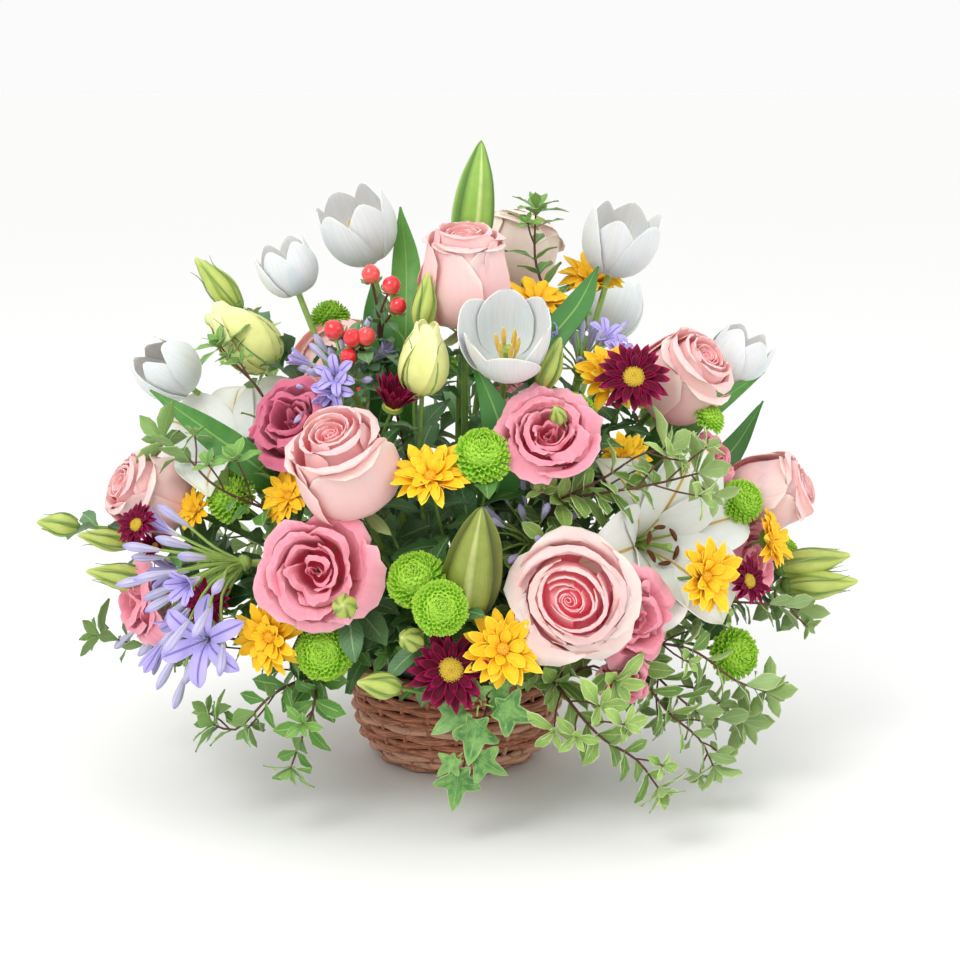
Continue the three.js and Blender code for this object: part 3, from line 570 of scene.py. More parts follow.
def clear_of_blooms(root, way, *reaches):
    """Whether the points at reaches along a way keep out of each bloom and of its front."""
    points = np.array([root + way * reach for reach in reaches])
    apart = points[:, None] - BLOOM_MIDDLES
    ahead = (apart * BLOOM_FACINGS).sum(axis=2)
    aside = np.linalg.norm(apart - ahead[..., None] * BLOOM_FACINGS, axis=2)
    inside = (ahead > -0.25 * BLOOM_REACHES) & (ahead < 2.2 * BLOOM_REACHES) & (aside < BLOOM_REACHES)
    return not inside.any()


def add_tube(growth, points, radius, sides=6, tint=0.5, layer=0.5):
    """A stem along points. Its radius may be one number or one for each point."""
    points = np.asarray(points, float)
    steps = len(points) - 1
    blank = rod(sides, steps)
    tangent = units(np.gradient(points, axis=0))
    side = [unit(np.cross(tangent[0], UP if abs(tangent[0][2]) < 0.9 else [1, 0, 0]))]
    for ahead in tangent[1:]:
        side.append(square_to(side[-1], ahead))
    side = np.array(side)
    other = np.cross(tangent, side)
    i = np.rint(blank.along * steps).astype(int)
    reach = np.broadcast_to(np.asarray(radius, float), len(points))[i]
    out = side[i] * np.cos(blank.turn)[:, None] + other[i] * np.sin(blank.turn)[:, None]
    growth.add_round(blank, points[i] + out * reach[:, None], tint, layer)


def add_ball(growth, seat, profile, sides=8, rings=7, ridges=(0, 0.0), twist=0.0, tint=0.5, layer=0.5):
    """A bud, berry or hub: a profile of [radius, height] round a seat, ridged and twisted."""
    blank = ball(sides, rings)
    r, z = through_rows(profile, blank.along).T
    count, depth = ridges
    r = np.abs(r) * (1 + depth * np.cos(count * blank.turn))
    local = about_axis(r, blank.turn + twist * blank.along, z)
    growth.add(blank, seat.put(local), blank.along, np.cos(count * blank.turn) / 2 + 0.5, tint, layer)


def add_petal(growth, seat, blank, profile, azimuth, half, thickness, tint, layer, *,
              rounding=0.3, power=2.0, point=0.0, jag=0.0, spiral=0.0, roll=0.0,
              ruffle=(0.0, 1.0, 0.0), base=0.5, lift=0.0, wander=0.0, taper=0.0, flat=0.0):
    """A petal that follows a [radius, height] profile round a seat.

    half is half the angle it spans. rounding and power shape its tip, point and
    jag its rim, spiral tucks one side under its neighbour, roll turns its sides back, ruffle
    is (depth, waves, phase), base narrows its foot, taper its top, lift cups its sides up,
    wander sways it and flat straightens its bow."""
    depth, waves, phase = ruffle

    def surface(u, v):
        rim = 1 - rounding * np.abs(u) ** power + point * np.exp(-((u / 0.2) ** 2))
        rim = rim + jag * (np.sin(23 * u + phase) + 0.7 * np.sin(41 * u + 2 * phase))
        s = v * rim
        r, z = through_rows(profile, s).T
        wide = half * (base + (1 - base) * np.sin(np.minimum(v / 0.55, 1) * math.pi / 2))
        wide = wide * (1 - taper * smoothstep(0.5, 1.1, v))
        side = np.abs(u) ** 3 * s**3
        wave = np.sin(waves * u + phase) + 0.5 * np.sin(2.3 * waves * u + 2.1 * phase)
        wave = depth * s**2.2 * wave * (0.5 + 0.5 * np.abs(u))
        r = r * (1 + spiral * u - flat * np.cos(u * math.pi / 2)) + roll * side + wave * 0.6
        z = z - roll * 0.7 * side + wave + lift * u**2 * s**2
        return about_axis(r, azimuth + wide * u + wander * v * v, z)

    seat.lay(growth, blank, surface, thickness, tint, layer)


# Half width along a blade, from the foot of the stalk to the tip.
LEAF_SHAPES = {
    "oval": (0.05, 0.3, 0.78, 1.0, 0.93, 0.62, 0.03),
    "lance": (0.3, 0.62, 0.9, 1.0, 0.85, 0.5, 0.02),
    "strap": (0.42, 0.6, 0.8, 0.95, 1.0, 0.8, 0.03),
    "oak": (0.1, 0.3, 0.55, 0.8, 1.0, 0.85, 0.1),
}
LEAF_THICKNESS = 0.45
# Leaves that hang low rest this far above the floor.
FLOOR_GAP = 2.0


def add_leaf(growth, root, way, face, length, width, rng, shape="oval", bend=0.5, fold=0.18, wave=0.05,
             lobes=0.0, blank=None, thickness=LEAF_THICKNESS, tint=None, guard=False):
    """A leaf from a root along a way, with its upper side turned to a face."""
    blank = blank or slab(4, 5)
    way = unit(way)
    face = square_to(face, way)
    side = np.cross(way, face)
    bend = bend * (0.7 + 0.6 * rng.random())
    phase = rng.random() * math.tau
    if guard and not clear_of_blooms(root, way * length, 0.45, 0.95):
        return

    def surface(u, v):
        w = through(LEAF_SHAPES[shape], v) * width / 2
        w = w * (1 - lobes * (0.5 + 0.5 * np.cos(7.5 * math.pi * np.clip(v, 0.1, 1))) * np.abs(u))
        turn = bend * v
        spine = np.outer(np.sin(turn) / bend, way) - np.outer((1 - np.cos(turn)) / bend, face)
        up = np.outer(np.sin(turn), way) + np.outer(np.cos(turn), face)
        rise = fold * np.abs(u) ** 1.3 * w + wave * width * np.sin(9 * v + phase) * u * np.abs(u)
        return root + spine * length + np.outer(u * w, side) + up * rise[:, None]

    corners = shaped(blank, surface, thickness)
    corners[:, 2] = np.maximum(corners[:, 2], FLOOR_GAP + blank.through * thickness)
    growth.add_sheet(blank, corners, rng.random() if tint is None else tint, blank.through + 0.5)


# ---- Finishes ----


class Link:
    """A node's output. Sums with it add Math nodes."""

    def __init__(self, finish, socket):
        self.finish, self.socket = finish, socket

    def out(self, output):
        """Another output of the same node."""
        return Link(self.finish, self.socket.node.outputs[output])

    def __add__(self, other):
        return self.finish.maths("ADD", self, other)

    def __radd__(self, other):
        return self.finish.maths("ADD", other, self)

    def __sub__(self, other):
        return self.finish.maths("SUBTRACT", self, other)

    def __rsub__(self, other):
        return self.finish.maths("SUBTRACT", other, self)

    def __mul__(self, other):
        return self.finish.maths("MULTIPLY", self, other)

    def __rmul__(self, other):
        return self.finish.maths("MULTIPLY", other, self)


def tone_of(code):
    """The red, green and blue of #rrggbb, from 0 to 1."""
    return [int(code[i : i + 2], 16) / 255 for i in (1, 3, 5)]


def linear(colour):
    """A screen colour, as #rrggbb or as its setting's group and name, as a shader takes it."""
    if colour.startswith("#"):
        tone = tone_of(colour)
    else:
        group, name = colour.split(".")
        tone = getattr(getattr(bpy.context.scene, group), name)
    return (*(c / 12.92 if c <= 0.04045 else ((c + 0.055) / 1.055) ** 2.4 for c in tone), 1.0)


class Finish:
    """One material, and the nodes that make it. A colour may be given as linear() takes it."""

    def __init__(self, name):
        self.material = bpy.data.materials.new(name)
        self.material.use_nodes = True
        self.tree = self.material.node_tree
        self.shader = self.tree.nodes["Principled BSDF"]

    def set(self, **settings):
        """Sets what is the same all over the surface."""
        for key, value in settings.items():
            self.shader.inputs[key.replace("_", " ").title().replace("Ior", "IOR")].default_value = value

    def node(self, kind, settings=None, inputs=None):
        """A node with its settings and what its sockets are given, by its first output."""
        made = self.tree.nodes.new(kind)
        for key, value in (settings or {}).items():
            setattr(made, key, value)
        for key, value in (inputs or {}).items():
            self.feed(made.inputs[key], value)
        return Link(self, made.outputs[0])

    def feed(self, socket, value):
        if isinstance(value, Link):
            self.tree.links.new(value.socket, socket)
        else:
            socket.default_value = linear(value) if isinstance(value, str) else value

    def maths(self, operation, *values):
        return self.node("ShaderNodeMath", {"operation": operation}, dict(enumerate(values)))

    def marks(self):
        """The four marks of a growth: along, across, tint and layer."""
        grain = self.node("ShaderNodeAttribute", {"attribute_name": "grain"})
        split = self.node("ShaderNodeSeparateColor", {}, {0: grain})
        return split, split.out(1), split.out(2), grain.out("Alpha")

    def ramp(self, value, low, high):
        """0 up to low and 1 from high on, smooth between them. High may be the lower number."""
        ends = {1: high, 2: low, 3: 1.0, 4: 0.0} if low > high else {1: low, 2: high, 3: 0.0, 4: 1.0}
        return self.node("ShaderNodeMapRange", {"interpolation_type": "SMOOTHSTEP"}, {0: value, **ends})

    def noise(self, vector, scale, detail=3.0, roughness=0.55):
        inputs = {"Vector": vector, "Scale": scale, "Detail": detail, "Roughness": roughness}
        return self.node("ShaderNodeTexNoise", {}, inputs)

    def cloud(self, scale, detail=3.0, roughness=0.55):
        """Noise that runs through the object, whatever the piece."""
        return self.noise(self.object_place(), scale, detail, roughness)

    def streaks(self, parts, scale=1.0, detail=2.0, roughness=0.55):
        """Noise at a place made of three numbers, most often across, along and tint."""
        place = self.node("ShaderNodeCombineXYZ", {}, dict(enumerate(parts)))
        return self.noise(place, scale, detail, roughness)

    def object_place(self):
        return self.node("ShaderNodeTexCoord").out("Object")

    def coats(self, colour, *rows):
        """Colours laid over a first one in turn, each with its share."""
        for share, tone in rows:
            inputs = {0: share, 6: colour, 7: tone}
            colour = self.node("ShaderNodeMix", {"data_type": "RGBA"}, inputs).out(2)
        return colour

    def away(self, value):
        """How far a share is from the middle, from 0 there to 1 at the ends."""
        return self.maths("ABSOLUTE", value - 0.5) * 2.0

    def finish(self, colour, roughness, height=None, distance=0.0005, strength=0.5):
        self.feed(self.shader.inputs["Base Color"], colour)
        self.feed(self.shader.inputs["Roughness"], roughness)
        if height is not None:
            inputs = {"Strength": strength, "Distance": distance, "Height": height}
            self.feed(self.shader.inputs["Normal"], self.node("ShaderNodeBump", {}, inputs))
        return self.material


def whorl_finish(f, body, heart, rim, *, rim_from=0.88, rim_depth=0.2, rim_share=0.75, outer_heart=0.35,
                 heart_to=1.06, glow=0.14, vein=0.1, inner_rim=None, lit=0.4):
    """Petals in whorls, by layer from 0 in the heart to 1 outside. The heart's colour fills the
    folds low on each petal: on roses it is partly their own deeper pink and partly painted
    shade, on lisianthuses it is the throat's own colour. The rim's colour comes in broader on
    the outer ones. The folds also glow a little in the heart's colour: a painted glow that
    stands in for light let through by the thin petals."""
    f.set(sheen_weight=0.12, subsurface_weight=glow, subsurface_scale=0.004, specular_ior_level=0.3,
          emission_strength=lit)
    along, across, tint, layer = f.marks()
    streak = f.streaks((across * 24.0, along * 2.0, tint * 37.0))
    cloud = f.cloud(70.0)
    # low and deep mark the folds low on the petals; the heart's colour there is partly painted shade on
    # roses, and the throat's own colour on lisianthuses.
    low = f.ramp(along + layer * 0.38 + streak * 0.1 - 0.05, heart_to + 0.1, heart_to - 0.5)
    deep = low * (1 - layer * (1 - outer_heart))
    # Painted glow: the heart's colour is emitted in the folds, at the strength lit, in place of light let
    # through the petals.
    fold = f.coats("#000000", (deep * f.ramp(along, 1.04, 0.7), heart))
    f.feed(f.shader.inputs["Emission Color"], fold)
    pale = f.coats(inner_rim or rim, (f.ramp(layer, 0.7, 1.0), rim))
    high = f.ramp(along + layer * rim_depth + cloud * 0.16 - 0.08, rim_from, rim_from + 0.24)
    colour = f.coats(
        body, (deep, heart), (high * rim_share, pale), (f.ramp(streak, 0.4, 0.8) * vein, heart),
        (f.ramp(tint, 0.6, 1.0) * 0.12, rim))
    return f.finish(colour, 0.42 + cloud * 0.2, streak + cloud * 0.4, 0.0005, 0.4)


def petal_finish(f, foot, body, rim, deep, *, deep_reach=0.5, rim_at=0.86, vein=0.08, veins=26.0,
                 foot_reach=0.3, sheen=0.15, glow=0.12, shine=0.35):
    """A petal's colours from foot to rim. Its inner layers take the deep colour."""
    f.set(sheen_weight=sheen, subsurface_weight=glow, subsurface_scale=0.004, specular_ior_level=shine)
    along, across, tint, layer = f.marks()
    streak = f.streaks((across * veins, along * 2.2, tint * 37.0))
    cloud = f.cloud(60.0)
    edge = f.maths("MAXIMUM", along, f.away(across) * 0.97)
    colour = f.coats(
        body, (f.ramp(along + streak * 0.12 - 0.06, foot_reach, 0.0), foot),
        (f.ramp(layer, deep_reach, 0.0) * f.ramp(along, 1.0, 0.55), deep),
        (f.ramp(edge + cloud * 0.1 - 0.05, rim_at, 1.0), rim), (f.ramp(streak, 0.35, 0.75) * vein, deep),
        (f.ramp(cloud, 0.3, 0.8) * 0.16, rim))
    return f.finish(colour, 0.42 + cloud * 0.2, streak + cloud * 0.4, 0.0006, 0.45)


def leaf_finish(f, blade, shade, vein, under, margin=None, *, margin_at=0.8, gloss=0.42, ribs=26.0):
    """A leaf with a midrib and side veins, a paler underside and perhaps a pale margin."""
    f.set(specular_ior_level=0.45, subsurface_weight=0.06, subsurface_scale=0.002)
    along, across, tint, upper = f.marks()
    side = f.away(across)
    patch = f.cloud(95.0, 4.0)
    rib = f.ramp(side, 0.1, 0.03)
    lines = f.ramp(f.maths("SINE", (along - side * 0.22) * ribs * 2.4), 0.86, 1.0) * f.ramp(side, 1.0, 0.6)
    coats = [(f.ramp(patch * 0.6 + tint * 0.5, 0.2, 0.8), shade), (rib * 0.75, vein), (lines * 0.28, vein)]
    if margin:
        wander = f.streaks((along * 5.0, across * 2.0, tint * 29.0), 1.3)
        coats.append((f.ramp(side + wander * 0.3 - 0.15, margin_at, margin_at + 0.14) * 0.72, margin))
    colour = f.coats(blade, *coats, ((1 - upper) * 0.55, under))
    return f.finish(colour, gloss + patch * 0.18, patch * 0.5 - rib * 0.8 - lines * 0.35, 0.0005, 0.6)


def ivy_finish(f, blade, shade, vein, margin):
    """An ivy leaf, by its place out from the middle and its closeness to a lobe's vein."""
    f.set(specular_ior_level=0.4, subsurface_weight=0.05, subsurface_scale=0.002)
    out, near, tint, upper = f.marks()
    patch = f.cloud(120.0, 4.0)
    blotch = f.streaks((out * 2.0, near, tint * 31.0), 1.5, 3.0)
    colour = f.coats(
        blade, (f.ramp(patch * 0.5 + blotch * 0.5, 0.38, 0.62), shade),
        (f.ramp(near, 0.94, 1.0) * f.ramp(out, 1.0, 0.5) * 0.55, vein),
        (f.ramp(out + blotch * 0.3 - 0.15, 0.88, 1.04) * 0.6, margin), ((1 - upper) * 0.5, vein))
    return f.finish(colour, 0.36 + patch * 0.2, patch * 0.5 - f.ramp(near, 0.9, 1.0) * 0.8, 0.0005, 0.6)


def lined_finish(f, skin, furrow, tip, *, ribs=0.12, tip_at=0.8):
    """A bud's skin, darker in the furrows between its folded petals and toned at its tip."""
    f.set(subsurface_weight=0.1, subsurface_scale=0.003)
    along, across, tint, _ = f.marks()
    cloud = f.cloud(120.0)
    fine = f.streaks((across * 14.0, along * 3.0, tint * 19.0))
    colour = f.coats(
        skin, (f.ramp(across + fine * 0.2 - 0.1, ribs * 3, 0.0), furrow),
        (f.ramp(along + cloud * 0.2 - 0.1, tip_at - 0.35, tip_at + 0.15), tip),
        (f.ramp(cloud, 0.35, 0.75) * 0.25, furrow))
    return f.finish(colour, 0.4 + cloud * 0.15, fine + cloud * 0.5, 0.0005, 0.5)


def bud_finish(f, skin, furrow, ridge):
    """A lily bud's skin: painted shade in the furrows between the folded petals, a pale ridge down each."""
    f.set(subsurface_weight=0.08, subsurface_scale=0.003)
    along, middle, tint, _ = f.marks()
    cloud = f.cloud(110.0)
    fine = f.streaks((middle * 20.0, along * 2.0, tint * 19.0))
    # Painted shade: the furrow colour darkens the grooves between the petals; the same colour also darkens
    # the tip and lies in random patches.
    colour = f.coats(
        skin, (f.ramp(middle + fine * 0.16 - 0.08, 0.5, 0.04), furrow),
        (f.ramp(middle + fine * 0.1 - 0.05, 0.82, 0.97) * 0.85, ridge),
        (f.ramp(along + cloud * 0.2 - 0.1, 0.9, 1.0) * 0.7, furrow),
        (f.ramp(cloud, 0.35, 0.75) * 0.22, furrow))
    return f.finish(colour, 0.36 + cloud * 0.2, fine + cloud * 0.5, 0.0006, 0.5)


def stem_finish(f, skin, shade, gloss=0.45, grain=0.35):
    """A stem's skin, with fine streaks along it and a few scars."""
    along, across, tint, _ = f.marks()
    streak = f.streaks((across * 9.0, along * 3.0, tint * 23.0), 1.6, 3.0)
    cloud = f.cloud(210.0, 4.0)
    colour = f.coats(
        skin, (f.ramp(streak + cloud * 0.4 - 0.2, 0.3, 0.7), shade),
        (f.ramp(cloud, 0.62, 0.72) * 0.3, shade))
    return f.finish(colour, gloss + streak * 0.2, streak * grain + cloud * 0.6, 0.0004, 0.6)


def willow_finish(f, bark, dark, worn):
    """Peeled willow rods: reddish bark streaked along the rod, dark in places, scuffed pale."""
    f.set(specular_ior_level=0.4)
    along, across, tint, _ = f.marks()
    around = f.streaks((f.maths("SINE", across * math.tau) * 0.5, along * 70.0, tint * 31.0))
    streak = f.streaks((across * 12.0, along * 40.0, tint * 31.0), 1.0, 4.0, 0.65)
    fleck = f.cloud(420.0, 4.0, 0.7)
    colour = f.coats(
        dark, (f.ramp(streak, 0.32, 0.7), bark), (f.ramp(tint + streak * 0.4, 0.55, 1.2) * 0.55, worn),
        (f.ramp(fleck, 0.6, 0.78) * 0.55, worn), (f.ramp(around, 0.42, 0.28) * 0.6, dark))
    return f.finish(colour, 0.42 + streak * 0.35, streak + fleck * 0.5, 0.0009, 0.8)


def berry_finish(f, unripe, ripe, pale, tip):
    """A glossy berry, paler where it is unripe and dark at its tip."""
    f.set(coat_weight=0.6, coat_roughness=0.08)
    along, _, tint, _ = f.marks()
    cloud = f.cloud(260.0)
    colour = f.coats(
        unripe, (f.ramp(along + cloud * 0.3 - 0.15, 0.05, 0.5), ripe),
        (f.ramp(tint, 0.55, 1.0) * 0.5, pale), (f.ramp(along, 0.93, 1.0), tip))
    return f.finish(colour, 0.14 + cloud * 0.12, cloud, 0.0002, 0.3)


def midrib_finish(f, blade, rib, beside, tip, shade, foot="#d9e0a8", *, width, stripes=0.0):
    """A lily or agapanthus petal: a line down its middle, tones beside it, and a tinted tip."""
    f.set(sheen_weight=0.12, subsurface_weight=0.12, subsurface_scale=0.003)
    along, across, tint, _ = f.marks()
    side = f.away(across)
    streak = f.streaks((across * 30.0, along * 2.0, tint * 17.0))
    cloud = f.cloud(80.0)
    colour = f.coats(
        blade, (f.ramp(side + streak * 0.2 - 0.1, 0.35, 0.0) * 0.6, beside),
        (f.ramp(along + cloud * 0.2 - 0.1, 0.3, 0.0), foot),
        (f.ramp(side, width * 2, width) * f.ramp(along, 1.0, 0.85), rib),
        (f.ramp(along + side * 0.1, 0.86, 1.02), tip), (f.ramp(streak, 0.4, 0.75) * (0.1 + stripes), shade),
        (f.ramp(cloud, 0.4, 0.8) * 0.12, shade))
    return f.finish(colour, 0.4 + cloud * 0.18, streak * 0.6 - f.ramp(side, 0.16, 0.0) * 1.5, 0.0009, 0.6)


def liner_finish(f, film, crease):
    """Dark, creased film with a soft gloss."""
    cloud = f.cloud(130.0, 4.0)
    colour = f.coats(film, (f.ramp(cloud, 0.35, 0.7), crease))
    return f.finish(colour, 0.24 + cloud * 0.25, cloud, 0.002, 0.8)


def foam_finish(f, wet, dry, pit):
    """Wet green foam, pitted all over."""
    pits = f.node("ShaderNodeTexVoronoi", {}, {"Vector": f.object_place(), "Scale": 900.0})
    cloud = f.cloud(60.0, 4.0)
    colour = f.coats(wet, (f.ramp(cloud, 0.3, 0.7), dry), (f.ramp(pits, 0.5, 0.1) * 0.5, pit))
    return f.finish(colour, 0.85 + cloud * 0.12, pits + cloud, 0.0008, 0.9)


def floor_finish(f, first, second):
    """A plain pale floor."""
    f.set(specular_ior_level=0.2)
    cloud = f.cloud(3.0, 2.0)
    return f.finish(f.coats(first, (cloud, second)), 0.6 + cloud * 0.1)


def recipe(make, *tones, **settings):
    """How a finish is made, from its name: by a function, with colours and settings."""
    return lambda name: make(Finish(name), *tones, **settings)


FINISHES = {
    # Whorl finishes emit a painted glow in the petals' folds; lit sets its strength. The roses' heart colour
    # is partly painted shade.
    "rose_petal": recipe(
        whorl_finish, "basket_roses.body", "basket_roses.heart", "#f6e9de", glow=0.3,
        inner_rim="#f6b3b9", rim_depth=0.1, rim_share=0.55, vein=0.06, lit=0.24, outer_heart=0.12),
    "rose_cream": recipe(whorl_finish, "#f5dbd3", "#eaa8a0", "#f4eadb", outer_heart=0.15),
    "tulip_petal": recipe(
        petal_finish, "#c3cba2", "basket_tulips.body", "#e9ebe9", "#c4cac0", deep_reach=0.3, rim_at=0.93,
        vein=0.34, veins=40.0, foot_reach=0.26, glow=0.15),
    "lisianthus_petal": recipe(
        whorl_finish, "basket_lisianthuses.body", "basket_lisianthuses.heart", "#f7cfd4", rim_from=0.94,
        rim_depth=0.06, heart_to=0.8, outer_heart=0.9, vein=0.16, rim_share=0.7),
    "lisianthus_deep": recipe(
        whorl_finish, "#cf6683", "#8e2a46", "#ea9fb1", rim_from=0.94, rim_depth=0.04, heart_to=0.8,
        outer_heart=0.9, vein=0.2, rim_share=0.6),
    "lily_petal": recipe(
        midrib_finish, "#eaebe8", "#c9a24c", "#e4e4cc", "#dedfc4", "#d3d6cc", width=0.026),
    "agapanthus_petal": recipe(
        midrib_finish, "#bdb2ee", "#8074c4", "#a498e0", "#b3a8ea", "#958ad2", "#e6e4dc", width=0.07,
        stripes=0.15),
    "agapanthus_bud": recipe(
        petal_finish, "#d3dac2", "#ccccde", "#a097de", "#857ac8", deep_reach=0.2, rim_at=0.6, vein=0.3,
        veins=12.0, foot_reach=0.45),
    "button_petal": recipe(
        petal_finish, "#3f7412", "basket_daisies.button", "#b4e04a", "#33690d", rim_at=0.72, vein=0.12,
        veins=8.0, foot_reach=0.4, glow=0.05, sheen=0.05),
    "yellow_petal": recipe(
        petal_finish, "#eba60a", "basket_daisies.yellow", "#ffe03c", "#f4aa08", deep_reach=0.25,
        rim_at=0.9, vein=0.3, veins=12.0, foot_reach=0.5, glow=0.08, sheen=0.05),
    "burgundy_petal": recipe(
        petal_finish, "#26030e", "basket_daisies.burgundy", "#98104a", "#1d020b", deep_reach=0.4,
        rim_at=0.74, vein=0.3, veins=10.0, foot_reach=0.55, glow=0.03, sheen=0.0, shine=0.12),
    "yellow_disc": recipe(
        petal_finish, "#b87a08", "#e0a512", "#f2c22a", "#b36a08", deep_reach=0.4, rim_at=0.7, vein=0.2,
        glow=0.0),
    "disc_floret": recipe(
        petal_finish, "#7c5f10", "#b8921c", "#dcc038", "#8a6410", deep_reach=0.4, rim_at=0.6, vein=0.2,
        glow=0.0),
    "bud_petal": recipe(lined_finish, "#b9c863", "#829c3c", "#cdd782", tip_at=0.9),
    "cream_bud": recipe(lined_finish, "#dcdd8c", "#b3bb52", "#ecebb4", ribs=0.1),
    # Lily buds: skin, the furrows' painted shade, and the pale ridge.
    "green_bud": recipe(bud_finish, "#8db548", "#557f2a", "#c6dc8a"),
    "olive_bud": recipe(bud_finish, "#8d9a40", "#525f1e", "#bcc57c"),
    "stamen": recipe(stem_finish, "#f4d36a", "#e6b748", 0.55),
    "anther": recipe(stem_finish, "#7a4422", "#4a2612", 0.85),
    "green_stem": recipe(stem_finish, "#7f9f4a", "#5f8436"),
    "pale_stem": recipe(stem_finish, "#a9c46a", "#86a94c"),
    "twig": recipe(stem_finish, "#6d4534", "#43281f", 0.6, 0.9),
    "sepal": recipe(leaf_finish, "#8aa860", "#6b8b48", "#b7c78c", "#a5b97c"),
    "rose_leaf": recipe(leaf_finish, "#47783a", "#2f5a2c", "#86a866", "#7b9a6c", gloss=0.32),
    "tulip_leaf": recipe(leaf_finish, "#5f9a3c", "#3f7a34", "#86b25c", "#6fa24e", ribs=0.0, gloss=0.38),
    "soft_leaf": recipe(leaf_finish, "#6a935c", "#4b754a", "#9cb98a", "#8fae88"),
    "daisy_leaf": recipe(leaf_finish, "#5c8e42", "#3b6b34", "#8fb06e", "#7c9c6a", gloss=0.5),
    "branch_leaf": recipe(
        leaf_finish, "basket_greenery.leaf", "#648f3c", "#c3d68e", "#a3bd86", "basket_greenery.margin",
        gloss=0.36),
    "fresh_leaf": recipe(
        leaf_finish, "#76a748", "#4e8636", "#abca78", "#9cba78", "#bcd08c", margin_at=0.9, gloss=0.36),
    "ivy_leaf": recipe(ivy_finish, "#78a456", "#447a3a", "#a9c886", "#c0d394"),
    "berry_skin": recipe(berry_finish, "#f08a78", "#d8212a", "#ee6a62", "#4a1512"),
    "willow": recipe(willow_finish, "basket_weave.bark", "#7d4935", "#e4b79c"),
    "liner_film": recipe(liner_finish, "#1d211c", "#343b30"),
    "wet_foam": recipe(foam_finish, "#1f3b24", "#33573a", "#16281a"),
    "floor": recipe(floor_finish, "#eeeeed", "#efefee"),
}


@functools.cache
def finish(name):
    """A finish by its name, made when the first piece asks for it."""
    return FINISHES[name](name)


# ---- Blooms ----


def between(first, second, share):
    return np.asarray(first, float) * (1 - share) + np.asarray(second, float) * share


def cupped(rim, height, belly, flare):
    """A petal's line from its foot, out to its belly, up to its rim and over its turned edge."""
    return np.array([
        (0.025, 0.0), (belly * 0.8, 0.13 * height), (belly, 0.42 * height),
        (between(belly, rim, 0.5), 0.74 * height), (rim, 0.97 * height),
        (rim + flare, height - abs(flare) * 0.75)])


# Plants whose petals have another finish than most of their kind.
OTHER_PETALS = {
    "rose_top_back": "rose_cream", "lisianthus_upper_left": "lisianthus_deep", "lily_bud_top": "green_bud",
}
# Each whorl: petals, radius of the rim, height of the rim, belly, how far the edge turns out,
# half the angle that a petal spans, and how much its rim falls to the sides.
BUD_WHORLS = (
    (2, 0.035, 0.88, 0.1, 0.0, 150, 0.08), (3, 0.08, 0.9, 0.16, 0.003, 118, 0.12),
    (3, 0.14, 0.92, 0.23, 0.01, 102, 0.16), (3, 0.215, 0.94, 0.31, 0.025, 92, 0.2),
    (3, 0.31, 0.93, 0.39, 0.05, 84, 0.28), (3, 0.405, 0.86, 0.44, 0.09, 80, 0.34),
    (3, 0.45, 0.76, 0.465, 0.075, 72, 0.42),
)
OPEN_WHORLS = (
    (2, 0.028, 0.57, 0.07, 0.0, 150, 0.05), (3, 0.068, 0.585, 0.12, 0.002, 122, 0.08),
    (3, 0.118, 0.585, 0.18, 0.006, 106, 0.11), (3, 0.18, 0.57, 0.25, 0.016, 96, 0.14),
    (3, 0.26, 0.53, 0.32, 0.04, 88, 0.2), (4, 0.35, 0.45, 0.38, 0.08, 76, 0.26),
    (5, 0.43, 0.33, 0.41, 0.125, 66, 0.32),
)
# The heart of a full-blown rose is narrower along this way, and sits off the middle.
HEART_NARROW = (0.6, -0.1, 0.8)
HEART_SHIFT = np.array((-0.045, 0.0, 0.02))


def add_rose(growths, bloom, rng):
    """Whorls of petals from a tight heart to broad outer ones whose edges turn back."""
    settings = bpy.context.scene.basket_roses
    seat = seat_of(bloom, rng.random() * math.tau)
    opened = bloom.kind == "open_rose"
    whorls = OPEN_WHORLS if opened else BUD_WHORLS
    growth = growths[OTHER_PETALS.get(bloom.plant, "rose_petal")]
    for k, (count, rim, height, belly, flare, half, fall) in enumerate(whorls):
        t = k / (len(whorls) - 1)
        start = rng.random() * math.tau
        spread, uneven, whorl_seat = (bloom.look - 0.4) * t**2, 0.26, seat
        if opened:
            spread, uneven = 0, 0.26 + 0.3 * math.sin(math.pi * t)
            whorl_seat = seat.drawn_in(HEART_NARROW, 0.26 * (1 - t**2), HEART_SHIFT * (1 - t))
        for i in range(count):
            profile = cupped(
                rim * (1 + uneven * jitter(rng, 1)) + 0.16 * spread,
                height * (1 + jitter(rng, 0.1) * t) - 0.1 * spread, belly + 0.03 * spread,
                flare * (0.75 + 0.7 * rng.random()) * settings.curl + 0.05 * spread)
            azimuth = start + math.tau * i / count + jitter(rng, 0.55) * t
            add_petal(
                growth, whorl_seat, slab(12, 11) if t > 0.5 else slab(10, 9), profile, azimuth,
                math.radians(half), settings.thickness / MM, rng.random(), t, rounding=fall,
                point=0.07 * t, spiral=0.34 - 0.26 * min(1.6 * t, 1),
                roll=0.09 * t**2 * (0.3 + rng.random()), base=0.7, flat=0.16 * (1 - 0.7 * t),
                ruffle=(0.026 * t, 1.8 + 2.0 * rng.random(), rng.random() * math.tau))
    hip = [(0, -0.13), (0.05, -0.11), (0.085, -0.04), (0.07, 0.02), (0.0, 0.04)]
    add_ball(growths["green_stem"], seat, hip, 10, 8)
    for i in range(5):
        out, _ = spoke(math.tau * i / 5 + 0.3 * rng.random())
        way = seat.way(out * (0.9 + 0.3 * rng.random()) + UP * (0.1 - 0.7 * rng.random()))
        add_leaf(growths["sepal"], seat.put(out * 0.055), way, seat.way(-UP - out * 0.3),
                 seat.size * (0.4 + 0.15 * rng.random()), seat.size * 0.13, rng, "lance", bend=0.7,
                 fold=0.3, blank=slab(2, 6))


